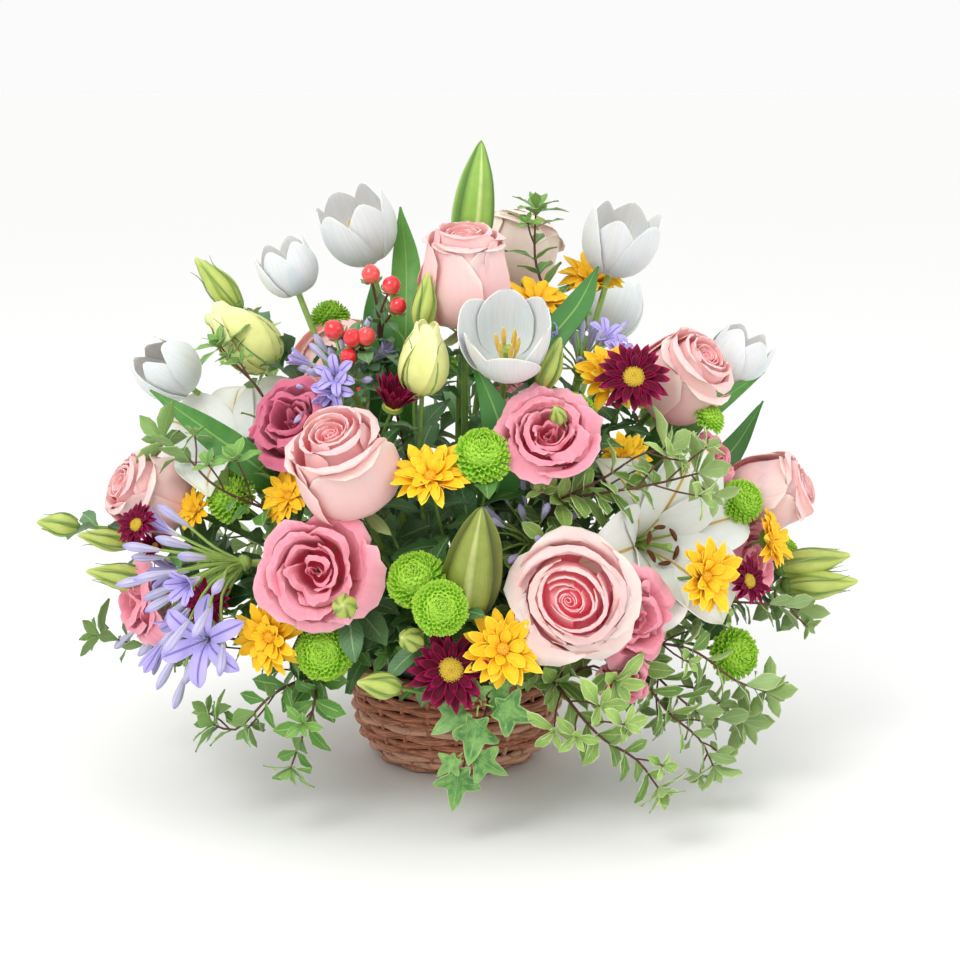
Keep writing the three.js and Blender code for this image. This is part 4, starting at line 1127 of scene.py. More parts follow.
CLOSED_TULIP = [(0.02, 0.0), (0.27, 0.05), (0.42, 0.27), (0.44, 0.54), (0.34, 0.8), (0.17, 1.0)]
LOOSE_TULIP = [(0.02, 0.0), (0.28, 0.04), (0.45, 0.25), (0.52, 0.52), (0.52, 0.78), (0.5, 1.0)]
WIDE_TULIP = [(0.02, 0.0), (0.26, 0.02), (0.44, 0.18), (0.56, 0.42), (0.63, 0.66), (0.66, 0.88)]


def add_tulip(growths, bloom, rng):
    """Three inner and three outer petals, each pointed and cupped, more or less open."""
    settings = bpy.context.scene.basket_tulips
    seat = seat_of(bloom, math.radians(30) + jitter(rng, 0.6))
    opened = bloom.kind == "open_tulip"
    for i in range(6):
        inner = i % 2
        lean = min(max(bloom.look + jitter(rng, 0.36), 0), 1.2)
        profile = between(CLOSED_TULIP, LOOSE_TULIP, lean)
        if opened:
            profile = between(LOOSE_TULIP, WIDE_TULIP, 0.3 + 0.6 * rng.random())
        profile[:, 0] *= 0.92 if inner else 1.0
        profile[:, 1] *= 0.93 - 0.07 * rng.random()
        add_petal(
            growths["tulip_petal"], seat, slab(14, 14), profile, i * math.pi / 3 + jitter(rng, 0.12),
            math.radians(52 if inner else 54) * (1.04 if opened else 1), settings.thickness / MM,
            rng.random(), 0.8, rounding=0.34 if opened else 0.38, power=1.9, point=0.02, taper=0.2,
            spiral=0.04, lift=-0.03, ruffle=(0.012, 3.0, rng.random() * 6), roll=-0.02)
    pistil = [(0, 0.02), (0.05, 0.03), (0.045, 0.2), (0.05, 0.3), (0.085, 0.34), (0, 0.36)]
    add_ball(growths["pale_stem"], seat, pistil, 6, 8, ridges=(3, 0.25))
    widths = np.array([1.0, 1.0, 1.1, 1.7, 2.1, 1.9, 0.7]) * seat.size / 60
    for i in range(6):
        out, _ = spoke(math.tau * i / 6 + 0.3)
        points = line([out * 0.05 + UP * 0.03, out * 0.11 + UP * 0.28, out * 0.15 + UP * 0.58], 6)
        add_tube(growths["stamen"], seat.put(points), widths, 5, rng.random())


# Blooms further back than this get fewer faces.
BEHIND = 60
RUFFLED_WHORLS = (
    (2, 0.035, 0.36, 0.07, 0.01, 135, 0.12), (2, 0.1, 0.43, 0.13, 0.03, 112, 0.14),
    (3, 0.2, 0.5, 0.19, 0.05, 88, 0.2), (4, 0.31, 0.51, 0.26, 0.08, 72, 0.26),
    (5, 0.43, 0.42, 0.31, 0.12, 62, 0.28),
)


def add_lisianthus(growths, bloom, rng):
    """Thin petals with ruffled, nibbled rims that open loosely from a folded heart."""
    settings = bpy.context.scene.basket_lisianthuses
    seat = seat_of(bloom, rng.random() * math.tau)
    growth = growths[OTHER_PETALS.get(bloom.plant, "lisianthus_petal")]
    blank = slab(20, 10) if bloom.neck[1] < BEHIND else slab(12, 8)
    for k, (count, rim, height, belly, flare, half, fall) in enumerate(RUFFLED_WHORLS):
        t = k / (len(RUFFLED_WHORLS) - 1)
        start = rng.random() * math.tau
        opened = (bloom.look - 0.5) * t
        for i in range(count):
            loose = 1 + jitter(rng, 0.26)
            profile = cupped(
                rim * loose + 0.14 * opened, height * (1 + jitter(rng, 0.22)) - 0.16 * opened,
                belly * loose, flare * (0.4 + 1.2 * rng.random()))
            azimuth = start + math.tau * i / count + jitter(rng, 0.5)
            add_petal(
                growth, seat, blank, profile, azimuth, math.radians(half), settings.thickness / MM,
                rng.random(), t, rounding=fall, power=2.3, jag=0.019, spiral=0.24 - 0.16 * t,
                roll=0.06 * t, taper=0.06,
                ruffle=((0.035 + 0.06 * rng.random()) * settings.ruffle, 2.8 + 3.2 * rng.random(),
                        rng.random() * math.tau),
                wander=jitter(rng, 0.25))
    hub = [(0, -0.04), (0.05, -0.02), (0.07, 0.02), (0.03, 0.04), (0, 0.05)]
    add_ball(growths["green_stem"], seat, hub, 8, 6)
    add_sepals(growths, seat, rng, [(0.06, 0.0), (0.15, 0.1), (0.28, 0.2), (0.42, 0.2)], 0.3)


SEPAL_RADII = (1.15, 1.0, 0.85, 0.75, 0.6, 0.48, 0.36, 0.2)


def add_sepals(growths, seat, rng, profile, kick):
    """Thin sepals that lie along a bud or bloom, and stand off it at their tips."""
    for i in range(5):
        out, over = spoke(math.tau * (i + 0.35 * rng.random()) / 5)
        points = [out * (r + 0.012) + UP * z for r, z in profile]
        points[-1] = points[-1] + out * (kick * (0.2 + 0.8 * rng.random())) + over * 0.1 * jitter(rng, 1)
        add_tube(growths["sepal"], seat.put(line(points, 7)), SEPAL_RADII, 5, rng.random(), 1.0)


SLIM_BUD = ((0.0, 0.0), (0.1, 0.04), (0.19, 0.24), (0.2, 0.46), (0.14, 0.7), (0.07, 0.88), (0.035, 0.97),
            (0, 1.0))
STOUT_BUD = ((0.0, 0.0), (0.16, 0.03), (0.29, 0.22), (0.31, 0.46), (0.26, 0.68), (0.17, 0.86), (0.1, 0.96),
             (0, 1.0))
SMALL_BUD = 40


def add_bud(growths, bloom, rng):
    """A lisianthus bud: petals wrapped round each other in a twisted spindle. One that is about
    to open, with a look of 1, is stout and its petals stand off at the tip."""
    seat = seat_of(bloom, rng.random() * math.tau)
    stout = bloom.look == 1
    growth = growths["cream_bud" if stout else "bud_petal"]
    profile = np.array(STOUT_BUD if stout else SLIM_BUD)
    if bloom.size < SMALL_BUD:
        profile[:, 0] *= 1.35
    add_ball(growth, seat, profile, 25, 16, ridges=(5, 0.07), twist=1.7, tint=rng.random())
    if stout:
        wrapped = profile * [1.03, 1.0]
        wrapped[-2, 0] = 0.17
        wrapped[-1] = 0.14, 1.03
        for i in range(5):
            add_petal(
                growth, seat, slab(10, 10), wrapped, math.tau * i / 5, math.radians(52), 0.6, rng.random(),
                0.6, spiral=0.12, wander=0.7, ruffle=(0.02, 4.0, rng.random() * 6))
    cup = [(0, -0.05), (0.07, -0.03), (0.13, 0.04), (0.12, 0.1), (0, 0.12)]
    add_ball(growths["green_stem"], seat, cup, 8, 6)
    add_sepals(growths, seat, rng, profile[1:6], 0.22 if stout else 0.12)


LILY_SPINE = [(0.012, 0.0), (0.07, 0.16), (0.19, 0.33), (0.4, 0.46), (0.62, 0.5), (0.79, 0.42)]
LILY_WIDTHS = (0.04, 0.09, 0.17, 0.22, 0.21, 0.145, 0.01)
LILY_THICKNESS = 0.9


def add_lily(growths, bloom, rng):
    """Six long petals, the inner three broad, that flare and bend back, with long stamens."""
    seat = seat_of(bloom, 0.08)
    for i in range(6):
        inner = i % 2
        out, over = spoke(i * math.pi / 3 + jitter(rng, 0.12))
        spine = np.array(LILY_SPINE)
        spine[:, 0] *= 1 + jitter(rng, 0.06)
        spine[4:, 1] += 0.07 * (rng.random() - 0.4)
        spine[1:, 1] -= 0 if inner else 0.012
        phase = rng.random() * 6

        def surface(u, v):
            r, z = through_rows(spine, v).T
            half = through(LILY_WIDTHS, v) * (1.38 if inner else 1.05)
            z = z + half * (0.38 * u**2 - 0.22 * np.exp(-((u / 0.14) ** 2)) * (1 - v))
            z = z + 0.012 * np.sin(11 * v + phase) * u * np.abs(u) * smoothstep(0.2, 0.6, v)
            return np.outer(r - 0.12 * half * u**2, out) + np.outer(half * u, over) + np.outer(z, UP)

        seat.lay(growths["lily_petal"], slab(12, 20), surface, LILY_THICKNESS, rng.random(), 0.8)
    style = seat.put(line([(0, 0, 0.02), (0.01, -0.02, 0.22), (0.03, -0.06, 0.42)], 10))
    add_tube(growths["pale_stem"], style, [1.5] * 9 + [2.2, 2.6], 6)
    for i in range(6):
        out, over = spoke(i * math.pi / 3 + 0.4, 0.2 * rng.random())
        tip = out * 0.13 + UP * 0.36 + np.array([0.01, -0.04, 0])
        stalk = seat.put(line([out * 0.02, out * 0.05 + UP * 0.2, tip], 8))
        add_tube(growths["pale_stem"], stalk, 0.8, 5)
        ends = seat.put(line([tip - over * 0.055, tip + UP * 0.012, tip + over * 0.055], 5))
        add_tube(growths["anther"], ends, [0.6, 1.5, 1.8, 1.8, 1.5, 0.6], 6, rng.random())


LILY_BUD = ((0.0, 0.0), (0.08, 0.02), (0.14, 0.13), (0.172, 0.32), (0.165, 0.5), (0.13, 0.7), (0.07, 0.87),
            (0.03, 0.96), (0, 1.0))


def add_lily_bud(growths, bloom, rng):
    """A lily bud: broad folded petals, a ridge down the middle of each, and furrows between."""
    material = OTHER_PETALS.get(bloom.plant, "olive_bud")
    seat = seat_of(bloom, 1.1 if material == "olive_bud" else 0.25)
    blank = ball(48, 20)
    r, z = through_rows(np.array(LILY_BUD) * [bloom.look, 1], blank.along).T
    middle = 1 - np.abs(2 * ((3 * blank.turn / math.tau) % 1) - 1)
    ridge = np.exp(-(((1 - middle) / 0.09) ** 2))
    groove = np.exp(-((middle / 0.11) ** 2))
    beside = np.exp(-((((1 - middle) - 0.26) / 0.1) ** 2))
    r = np.abs(r) * (1 + 0.07 * ridge - 0.13 * groove - 0.05 * beside)
    corners = seat.put(about_axis(r, blank.turn, z))
    growths[material].add(blank, corners, blank.along, middle, rng.random())


RAY_THICKNESS = 0.45
POMPON_CENTRE = 0.2
POMPON_RADII = np.array([0.21, 0.21, 0.17])


def add_button(growths, bloom, rng):
    """A green pompon: rows of short scooped petals wound over a dome."""
    seat = seat_of(bloom, rng.random() * math.tau)
    count = 200 if bloom.size > 30 else 140
    growth = growths["button_petal"]
    dome = [(0, 0.02), (0.2, 0.04), (0.34, 0.16), (0.34, 0.34), (0.2, 0.48), (0, 0.52)]
    add_ball(growth, seat, dome, 12, 8, tint=0.2, layer=0.0)
    for i in range(count):
        t = (i + 0.5) / count
        tilt = math.radians(5 + 112 * t**0.6)
        out, over = spoke(i * GOLDEN_ANGLE)
        way = out * math.sin(tilt) + UP * math.cos(tilt)
        face = UP * math.sin(tilt) - out * math.cos(tilt)
        root = way * POMPON_RADII + UP * POMPON_CENTRE
        length = 0.15 + 0.19 * t + 0.05 * (rng.random() - 0.3)
        half = 0.024 + 0.02 * t
        curl = 0.15 * (1 - t) ** 1.5 + 0.05 * rng.random() * t

        def surface(u, v):
            wide = half * (0.55 + 0.75 * np.sin(math.pi * np.clip(v, 0, 1) * 0.8))
            rise = curl * v**2 + 0.9 * half * u**2
            return root + np.outer(v * length, way) + np.outer(u * wide, over) + np.outer(rise, face)

        seat.lay(growth, slab(2, 3), surface, RAY_THICKNESS, rng.random(), t)
    add_collar(growths, seat)


def add_collar(growths, seat):
    """The green cup of scales that holds a daisy's or a pompon's petals."""
    cup = [(0, -0.07), (0.08, -0.06), (0.17, 0.0), (0.18, 0.06), (0, 0.08)]
    add_ball(growths["green_stem"], seat, cup, 12, 6, ridges=(12, 0.05))


# Each kind of daisy: the finishes of its rays and disc, its rings of rays as (count, reach,
# rise), a ray's length, half width and rise, its disc's radius and its florets.
DAISY_KINDS = {
    "yellow": (
        "yellow_petal", "yellow_disc", ((13, 1.0, 0.0), (11, 0.92, 0.05), (8, 0.66, 0.13), (6, 0.42, 0.2)),
        0.45, 0.071, 0.42, 0.085, 30),
    "burgundy": (
        "burgundy_petal", "disc_floret", ((16, 1.0, 0.0), (14, 0.88, 0.06), (8, 0.6, 0.11)),
        0.41, 0.054, 0.25, 0.15, 95),
}
CLOSED_LOOK = 0.3


def add_daisy(growths, bloom, rng):
    """Rings of ray petals round a disc of tiny florets, which yellow ones nearly hide."""
    ray, disc, rings, ray_length, ray_half, ray_rise, radius, florets = DAISY_KINDS[bloom.kind]
    seat = seat_of(bloom, rng.random() * math.tau)
    closed = bloom.look < CLOSED_LOOK
    blank = slab(4, 6) if bloom.neck[1] < BEHIND else slab(2, 5)
    for ring, (count, reach, rise) in enumerate(rings):
        for i in range(count):
            turn = math.tau * (i + 0.5 * (ring % 2) + jitter(rng, 0.45)) / count
            out, over = spoke(turn, jitter(rng, 0.25))
            length = ray_length * reach * (0.86 + 0.24 * rng.random())
            half = ray_half * (0.85 + 0.35 * rng.random()) * (0.7 + 0.3 * reach)
            up = ray_rise + rise * 2.2 + 0.4 * rng.random() + (0.9 if closed else 0)
            droop = 0.15 + 0.5 * rng.random() - (0.3 if closed else 0)
            root = out * 0.085 * (1.2 - rise * 2) + UP * (0.05 + rise * 0.3)
            tip = 0.24 + 0.12 * rng.random()

            def surface(u, v):
                run = v * (1 - tip * np.abs(u) ** 1.8)
                wide = half * (0.4 + 0.7 * np.sin(math.pi * np.clip(v, 0, 1) * 0.74))
                z = up * length * run - droop * length * run**2 + wide * (0.55 * u**2 + 0.1 * np.cos(5 * u))
                level = length * run * math.cos(min(up * 0.55, 1.2))
                return root + np.outer(level, out) + np.outer(u * wide, over) + np.outer(z, UP)

            seat.lay(growths[ray], blank, surface, RAY_THICKNESS, rng.random(), 1 - rise * 3)
    heap = [(0, 0.03), (radius * 0.9, 0.06), (radius, 0.11), (radius * 0.5, 0.17), (0, 0.17)]
    add_ball(growths[disc], seat, heap, 12, 6)
    for i in range(florets):
        t = math.sqrt((i + 0.5) / florets)
        out, _ = spoke(i * GOLDEN_ANGLE)
        spot = seat.put(out * radius * t + UP * (0.165 - 0.06 * t * t))
        bead = [(0, -0.01), (0.014, 0.0), (0.011, 0.02), (0, 0.035 + 0.012 * rng.random())]
        floret = Seat(spot, bloom.facing, bloom.size)
        add_ball(growths[disc], floret, bead, 5, 4, tint=rng.random(), layer=1 - 0.7 * t)
    add_collar(growths, seat)


# The spine of an agapanthus petal while the flower is shut and when it is wide open.
SHUT_STAR = ((0.03, 0.0), (0.055, 0.3), (0.09, 0.55), (0.13, 0.8), (0.15, 1.0), (0.17, 1.15))
WIDE_STAR = ((0.02, 0.0), (0.05, 0.17), (0.15, 0.29), (0.3, 0.34), (0.43, 0.33), (0.52, 0.28))
STAR_WIDTHS = (0.03, 0.05, 0.075, 0.1, 0.105, 0.08, 0.012)
STAR_THICKNESS = 0.5


def add_floret_bud(growths, root, way, length, width, rng):
    """An agapanthus bud: a slim club on its own stalk."""
    w = width / length / 2
    profile = [(0, -0.02), (0.35 * w, 0.05), (0.62 * w, 0.26), (0.95 * w, 0.56), (0.92 * w, 0.76),
               (0.5 * w, 0.93), (0, 1.0)]
    add_ball(growths["agapanthus_bud"], Seat(root, way, length), profile, 12, 9, ridges=(3, 0.07),
             tint=rng.random(), layer=0.9)


def add_star(growths, root, way, size, rng, roll, spread):
    """An open agapanthus flower: a tube that opens into six narrow petals."""
    seat = Seat(root, way, size, roll)
    spine = between(SHUT_STAR, WIDE_STAR, spread)
    for i in range(6):
        turn = i * math.pi / 3
        out, over = spoke(turn)
        sway = jitter(rng, 0.05)

        def surface(u, v):
            r, z = through_rows(spine, v).T
            half = through(STAR_WIDTHS, v)
            side = np.outer(half * u + sway * v**2, over)
            return np.outer(r, out) + side + np.outer(z + 0.3 * half * u**2, UP)

        seat.lay(growths["agapanthus_petal"], slab(6, 11), surface, STAR_THICKNESS, rng.random(), 0.8)
        tip = spoke(turn + 0.5)[0] * 0.1 + UP * 0.46
        stamen = seat.put(line([(0, 0, 0.1), tip * [0.5, 0.5, 0.7], tip], 4))
        add_tube(growths["agapanthus_bud"], stamen, 0.32, 4)


# Where the nearest umbel's buds end.
LEFT_BUDS = [
    (-255, -22, 171), (-240, -69, 98), (-207, -117, 75), (-265, -33, 91), (-222, -97, 163),
    (-206, -133, 143), (-228, -84, 132), (-236, -60, 150), (-214, -112, 118), (-250, -44, 128),
    (-226, -104, 106), (-240, -80, 118), (-196, -130, 98), (-218, -120, 90),
]
LARGE_UMBEL = 80
# The large umbel's broad star: the end of its stalk, the way it faces and its size.
STAR_PLACE = np.array([-176.0, -160.0, 136.0])
STAR_FACE = unit([-2, -9, 1.5])
STAR_SIZE = 64


def add_umbel(growths, bloom, rng):
    """Florets on thin stalks that fan out from the top of one thick stalk."""
    hub = bloom.neck
    seat = seat_of(bloom)
    stalks = growths["pale_stem"]
    add_ball(stalks, seat, [(0, -0.06), (0.05, -0.03), (0.07, 0.02), (0, 0.05)], 8, 6)
    large = bloom.size > LARGE_UMBEL
    ends = [np.array(p, float) for p in LEFT_BUDS] if large else []
    count, fan, thick, shortest, width = (22, 1.0, 1.1, 27, 7.2) if large else (18, 1.15, 0.8, 17, 5.6)
    for i in range(count):
        tilt = fan * math.sqrt((i + 0.3) / count)
        turn = i * GOLDEN_ANGLE
        local = [math.sin(tilt) * math.cos(turn), math.sin(tilt) * math.sin(turn), math.cos(tilt)]
        ends.append(seat.put(np.array(local) * (0.74 + 0.3 * rng.random())))
    for i, end in enumerate(ends):
        end = end - UP * 3 * rng.random()
        length = shortest + 8 * rng.random()
        way = unit(end - hub)
        lean = unit(way + bloom.facing * 0.35 + UP * 0.25)
        root = end - unit(way * 1.2 - UP * 0.12) * length
        bend = hub + lean * np.linalg.norm(root - hub) * 0.5
        add_tube(stalks, line([hub, bend, root], 6), thick, 5, rng.random())
        last = unit(root - bend)
        if i % 6 == 4 and bloom.look:
            add_star(growths, root, last, length * 1.2, rng, rng.random(), 0.1 + 0.5 * rng.random())
        else:
            add_floret_bud(growths, root, unit(last + way), length, width, rng)
    if large:
        root = STAR_PLACE - STAR_FACE * 20
        add_tube(stalks, line([hub, (hub + root) / 2 + [0, 0, 6], root], 6), 1.1, 5)
        add_star(growths, root, STAR_FACE, STAR_SIZE, rng, math.radians(25), 1.0)
    elif bloom.look:
        for _ in range(2):
            root = seat.put(unit([jitter(rng, 1), jitter(rng, 1), 0.6]) * 0.6)
            add_tube(stalks, line([hub, (hub + root) / 2, root], 4), 0.8, 5)
            add_star(growths, root, unit(root - hub), 34, rng, rng.random(), 0.85)


def add_berry(growths, bloom, rng):
    """A glossy berry with a dark tip, in a cup of five small sepals."""
    seat = seat_of(bloom)
    profile = [(0, 0), (0.3, 0.06), (0.47, 0.36), (0.44, 0.66), (0.2, 0.92), (0.03, 0.99), (0, 1.06)]
    add_ball(growths["berry_skin"], seat, profile, 18, 12, tint=rng.random())
    for i in range(5):
        out, _ = spoke(math.tau * i / 5 + rng.random())
        add_leaf(growths["sepal"], seat.put(out * 0.1 - UP * 0.02), seat.way(out + UP * 0.1), -bloom.facing,
                 8, 4.5, rng, bend=0.6, blank=slab(2, 4), thickness=0.35)


# ---- Stems and leaves ----


def add_stalk(growth, route, gap, least, radius, top, sides, rng):
    """A stem along a route, with a ring about every gap, that thins to a share at its top."""
    steps = max(int(run_along(route)[-1] / gap), least)
    add_tube(growth, line(route, steps), radius * np.linspace(1.0, top, steps + 1), sides, rng.random())


def add_stalks(growths, plant, finish_name, rng):
    """A plant's main stem and side stems, each a little thinner at its top."""
    growth = growths[finish_name]
    add_stalk(growth, route_of(plant), 14, 8, plant.radius, 0.8, 8, rng)
    for side in side_routes(plant):
        add_stalk(growth, side, 12, 6, plant.radius * 0.8, 0.85, 7, rng)


def outwards(point):
    return unit(np.asarray(point) - np.array([0, 0, 60]))


def stations(points, start, end, gap, rng):
    """Places along a line, with the way it runs there, from one share of it to another."""
    fine = line(points, 80)
    run = run_along(fine)
    at = run[-1] * start + gap * 0.5 * rng.random()
    while at < run[-1] * end:
        place, ahead = (np.array([np.interp(x, run, fine[:, k]) for k in range(3)]) for x in (at, at + 1.5))
        yield place, unit(ahead - place) if at + 1.5 < run[-1] else unit(fine[-1] - fine[-2]), at / run[-1]
        at += gap * (0.8 + 0.4 * rng.random())


# Finish, shape, length, width, gap along the stem, leaves at each place, lobes, bend, and the
# shares of the stem where they begin and end.
LEAF_HABITS = {
    "rose": ("rose_leaf", "oval", 34, 21, 27, 1, 0.0, 0.5, 0.3, 0.88),
    "tulip": ("tulip_leaf", "strap", 90, 26, 90, 1, 0.0, 0.7, 0.25, 0.55),
    "lily": ("tulip_leaf", "lance", 62, 13, 20, 2, 0.0, 0.8, 0.2, 0.8),
    "lisianthus": ("soft_leaf", "oval", 40, 18, 24, 2, 0.0, 0.6, 0.2, 0.86),
    "daisy": ("daisy_leaf", "oak", 44, 27, 18, 1, 0.5, 0.7, 0.2, 0.86),
    "hypericum": ("soft_leaf", "oval", 26, 12, 16, 2, 0.0, 0.5, 0.35, 0.8),
}
SIDE_START = 0.15


def add_stem_leaves(growths, plant, habit, rng):
    """Leaves up a flower stem, each turned out from it and its face to the sky."""
    name, shape, length, width, gap, pairs, lobes, bend, start, end = LEAF_HABITS[habit]
    for k, route in enumerate([route_of(plant)] + side_routes(plant)):
        for n, (place, along, share) in enumerate(stations(route, SIDE_START if k else start, end, gap, rng)):
            if place[2] < FOAM_TOP + 4:
                continue
            for pair in range(pairs):
                turn = n * GOLDEN_ANGLE + pair * math.pi + 0.5 * rng.random()
                side = unit(np.cross(along, [0.3, 0.2, 0.9]))
                out = side * math.cos(turn) + np.cross(along, side) * math.sin(turn)
                way = unit(along * 0.55 + out + outwards(place) * 0.35)
                face = unit(UP * 0.8 + outwards(place) * 0.7 + along * 0.3)
                size = (0.75 + 0.45 * rng.random()) * (1.1 - 0.35 * share)
                if habit == "rose":
                    add_rose_leaf(growths, place, way, face, size, rng)
                else:
                    add_leaf(growths[name], place, way, face, length * size, width * size, rng, shape,
                             bend=bend, lobes=lobes, wave=0.09, guard=True)


def add_rose_leaf(growths, place, way, face, size, rng):
    """A rose leaf: three or five leaflets on one stalk."""
    stalk = 40 * size
    if not clear_of_blooms(place, way * stalk, 0.5, 1.0, 1.7):
        return
    face = square_to(face, way)
    side = np.cross(way, face)
    points = line([place, place + way * stalk * 0.5 + UP * 2, place + way * stalk - UP * 3], 5)
    add_tube(growths["green_stem"], points, 0.8, 5, rng.random())
    pairs = ((3, 0.5, 0.85), (2, 0.3, 0.7)) if size > 0.85 else ((3, 0.5, 0.85),)
    spots = [(points[5], way, 1.0)]
    for at, ahead, share in pairs:
        spots += [(points[at], unit(way * ahead + aside), share) for aside in (side, -side)]
    for root, lead, share in spots:
        add_leaf(growths["rose_leaf"], root, lead, face, 34 * size * share, 22 * size * share, rng, fold=0.12)


def add_rosette(growths, name, tip, way, length, rng, count):
    """A tuft of leaves at the end of a twig, small and upright in the middle."""
    way = unit(way)
    side = unit(np.cross(way, [0.35, 0.25, 0.9]))
    other = np.cross(way, side)
    for i in range(count):
        t = (i + 0.5) / count
        tilt = math.radians(18 + 62 * t)
        turn = i * GOLDEN_ANGLE + 0.4 * rng.random()
        out = side * math.cos(turn) + other * math.sin(turn)
        lead = way * math.cos(tilt) + out * math.sin(tilt)
        face = way * math.sin(tilt) - out * math.cos(tilt)
        size = length * (0.42 + 0.55 * t) * (0.9 + 0.2 * rng.random())
        add_leaf(growths[name], tip - way * 3 * t, lead, face, size, size * 0.48, rng, bend=0.45, fold=0.2,
                 wave=0.06, blank=slab(4, 4), tint=0.45 * rng.random())


TWIG_GAP = 11
# A side twig needs a leaf of this size, and its tip stays this far above the floor.
TWIG_LEAST = 12


def add_shoot(growths, name, points, length, rng, start, radii, twigs):
    """A leafy shoot: a woody twig, leaves left and right, short side twigs and a tuft."""
    steps = max(int(run_along(points)[-1] / 8), 5)
    add_tube(growths["twig"], line(points, steps), np.linspace(*radii, steps + 1), 6, rng.random())
    for n, (place, along, share) in enumerate(stations(points, start, 0.97, TWIG_GAP, rng)):
        side = unit(np.cross(along, outwards(place) + 0.2 * UP))
        face = np.cross(side, along)
        turn = n * 1.57 + 0.5 * rng.random()
        for half in (0, math.pi):
            out = side * math.cos(turn + half) + face * math.sin(turn + half)
            up = unit(along * 0.8 + outwards(place) * 0.8 + UP * 0.4)
            size = length * (0.66 + 0.36 * rng.random()) * (1.05 - 0.25 * share)
            if rng.random() < twigs and size > TWIG_LEAST:
                end = place + unit(along + out * 0.9) * size * 1.25
                end[2] = max(end[2], TWIG_LEAST)
                twig = line([place, (place + end) / 2 + out * 2, end], 4)
                add_tube(growths["twig"], twig, 0.7, 5, rng.random())
                add_rosette(growths, name, end, end - place, size * 0.85, rng, 6)
            else:
                add_leaf(growths[name], place, unit(along * 0.7 + out), up, size, size * 0.5, rng, bend=0.45,
                         wave=0.07, blank=slab(4, 4), guard=True, tint=0.4 + 0.6 * rng.random())
    fine = line(points, 40)
    add_rosette(growths, name, fine[-1], fine[-1] - fine[-4], length, rng, 8)


def add_blade(growth, points, width, rng):
    """A long leaf along a line of points, with its flat side turned outwards."""
    chord = unit(points[-1] - points[0])
    across = np.cross(chord, outwards(curve_at(points, [0.5])[0]))
    if np.linalg.norm(across) < 0.3:
        across = np.cross(chord, [0, -1, 0])
    across = unit(across)
    phase = rng.random() * 6

    def surface(u, v):
        v = np.clip(v, 0, 1)
        ahead = curve_at(points, np.clip(v + 0.02, 0, 1)) - curve_at(points, np.clip(v - 0.02, 0, 1))
        half = through((0.3, 0.62, 0.88, 1.0, 0.96, 0.76, 0.42, 0.02), v) * width / 2
        rise = -half * (0.42 * u**2) * (1 - 0.6 * v) + 0.8 * np.sin(7 * v + phase) * u
        out = units(np.cross(ahead, across))
        return curve_at(points, v) + np.outer(half * u, across) + out * rise[:, None]

    blank = slab(8, 18)
    growth.add_sheet(blank, shaped(blank, surface, 1.0), rng.random(), 1.0)


# Where the ivy's leaves grow from, the way they lie and their length.
IVY_LEAVES = [
    ((21, -184, 98), (0.97, -0.25, -0.22), 31), ((17, -184, 97), (-0.15, -0.5, -1), 33),
    ((14, -182, 98), (-0.8, -0.2, -0.55), 29), ((19, -180, 96), (-0.25, -0.3, 0.9), 20),
    ((24, -180, 98), (0.6, -0.2, 0.65), 20), ((12, -183, 86), (-0.9, -0.2, -0.2), 20),
    ((8, -192, 68), (0.85, -0.25, -0.5), 27), ((5, -194, 64), (-0.15, -0.2, -1), 31),
    ((6, -193, 66), (-0.75, -0.3, -0.6), 19),
]


def add_ivy_leaf(growths, root, way, face, size, rng):
    """An ivy leaf: a long middle lobe and two shorter ones on each side, on a short stalk."""
    way = unit(way)
    face = square_to(face, way)
    side = np.cross(way, face)
    foot = root + way * size * 0.22
    add_tube(growths["pale_stem"], line([root, (root + foot) / 2 - face, foot], 4), 0.6, 5)
    phase = rng.random() * 6

    def polar(u, v):
        """A slab's places as a turn from the middle lobe and a reach from 0 to 1."""
        y = bowed(2 * v - 1)
        x, y = u * np.sqrt(1 - y * y / 2 + 1e-9), y * np.sqrt(1 - u * u / 2 + 1e-9)
        return np.arctan2(x, y), np.hypot(x, y)

    def surface(u, v):
        turn, reach = polar(np.clip(u, -1, 1), np.clip(v, 0, 1))
        sharp = (1 - np.abs(np.sin(2.5 * turn))) ** 0.9
        lobe = 0.4 + (0.36 + 0.2 * np.cos(turn)) * sharp + 0.12 * np.cos(turn)
        a, b = reach * lobe * np.sin(turn), reach * lobe * np.cos(turn)
        rise = 0.14 * np.sin(3 * turn + phase) * reach**2 - 0.2 * b**2
        rise = rise + 0.16 * np.abs(a) * (1 + 0.4 * np.cos(5 * turn))
        lengths = np.stack([(b + 0.38) * 0.72, a * 0.72, rise * 0.6], axis=1) * size
        return foot + lengths @ np.stack([way, side, face])

    blank = slab(14, 14)
    turn, reach = polar(blank.across, blank.along)
    growths["ivy_leaf"].add(blank, shaped(blank, surface, LEAF_THICKNESS), reach,
                            np.abs(np.cos(2.5 * turn)), rng.random(), blank.through + 0.5)


# ---- Whole plants ----

# The CAD's slot that each finish stands for. The others are greenery.
SLOTS = {
    "rose_petal": ("rose_petal", "rose_cream"),
    "tulip_petal": ("tulip_petal", "stamen"),
    "lily_petal": ("lily_petal", "green_bud", "olive_bud", "anther"),
    "lisianthus_petal": ("lisianthus_petal", "lisianthus_deep", "bud_petal", "cream_bud"),
    "button_petal": ("button_petal",),
    "yellow_petal": ("yellow_petal", "yellow_disc"),
    "burgundy_petal": ("burgundy_petal", "disc_floret"),
    "agapanthus_petal": ("agapanthus_petal", "agapanthus_bud"),
    "berry": ("berry_skin",),
    "ivy_leaf": ("ivy_leaf",),
}
SLOT_OF = {name: slot for slot, names in SLOTS.items() for name in names}
GREEN_SLOT = "sprig_leaf"
FIRST_SEED = 1000

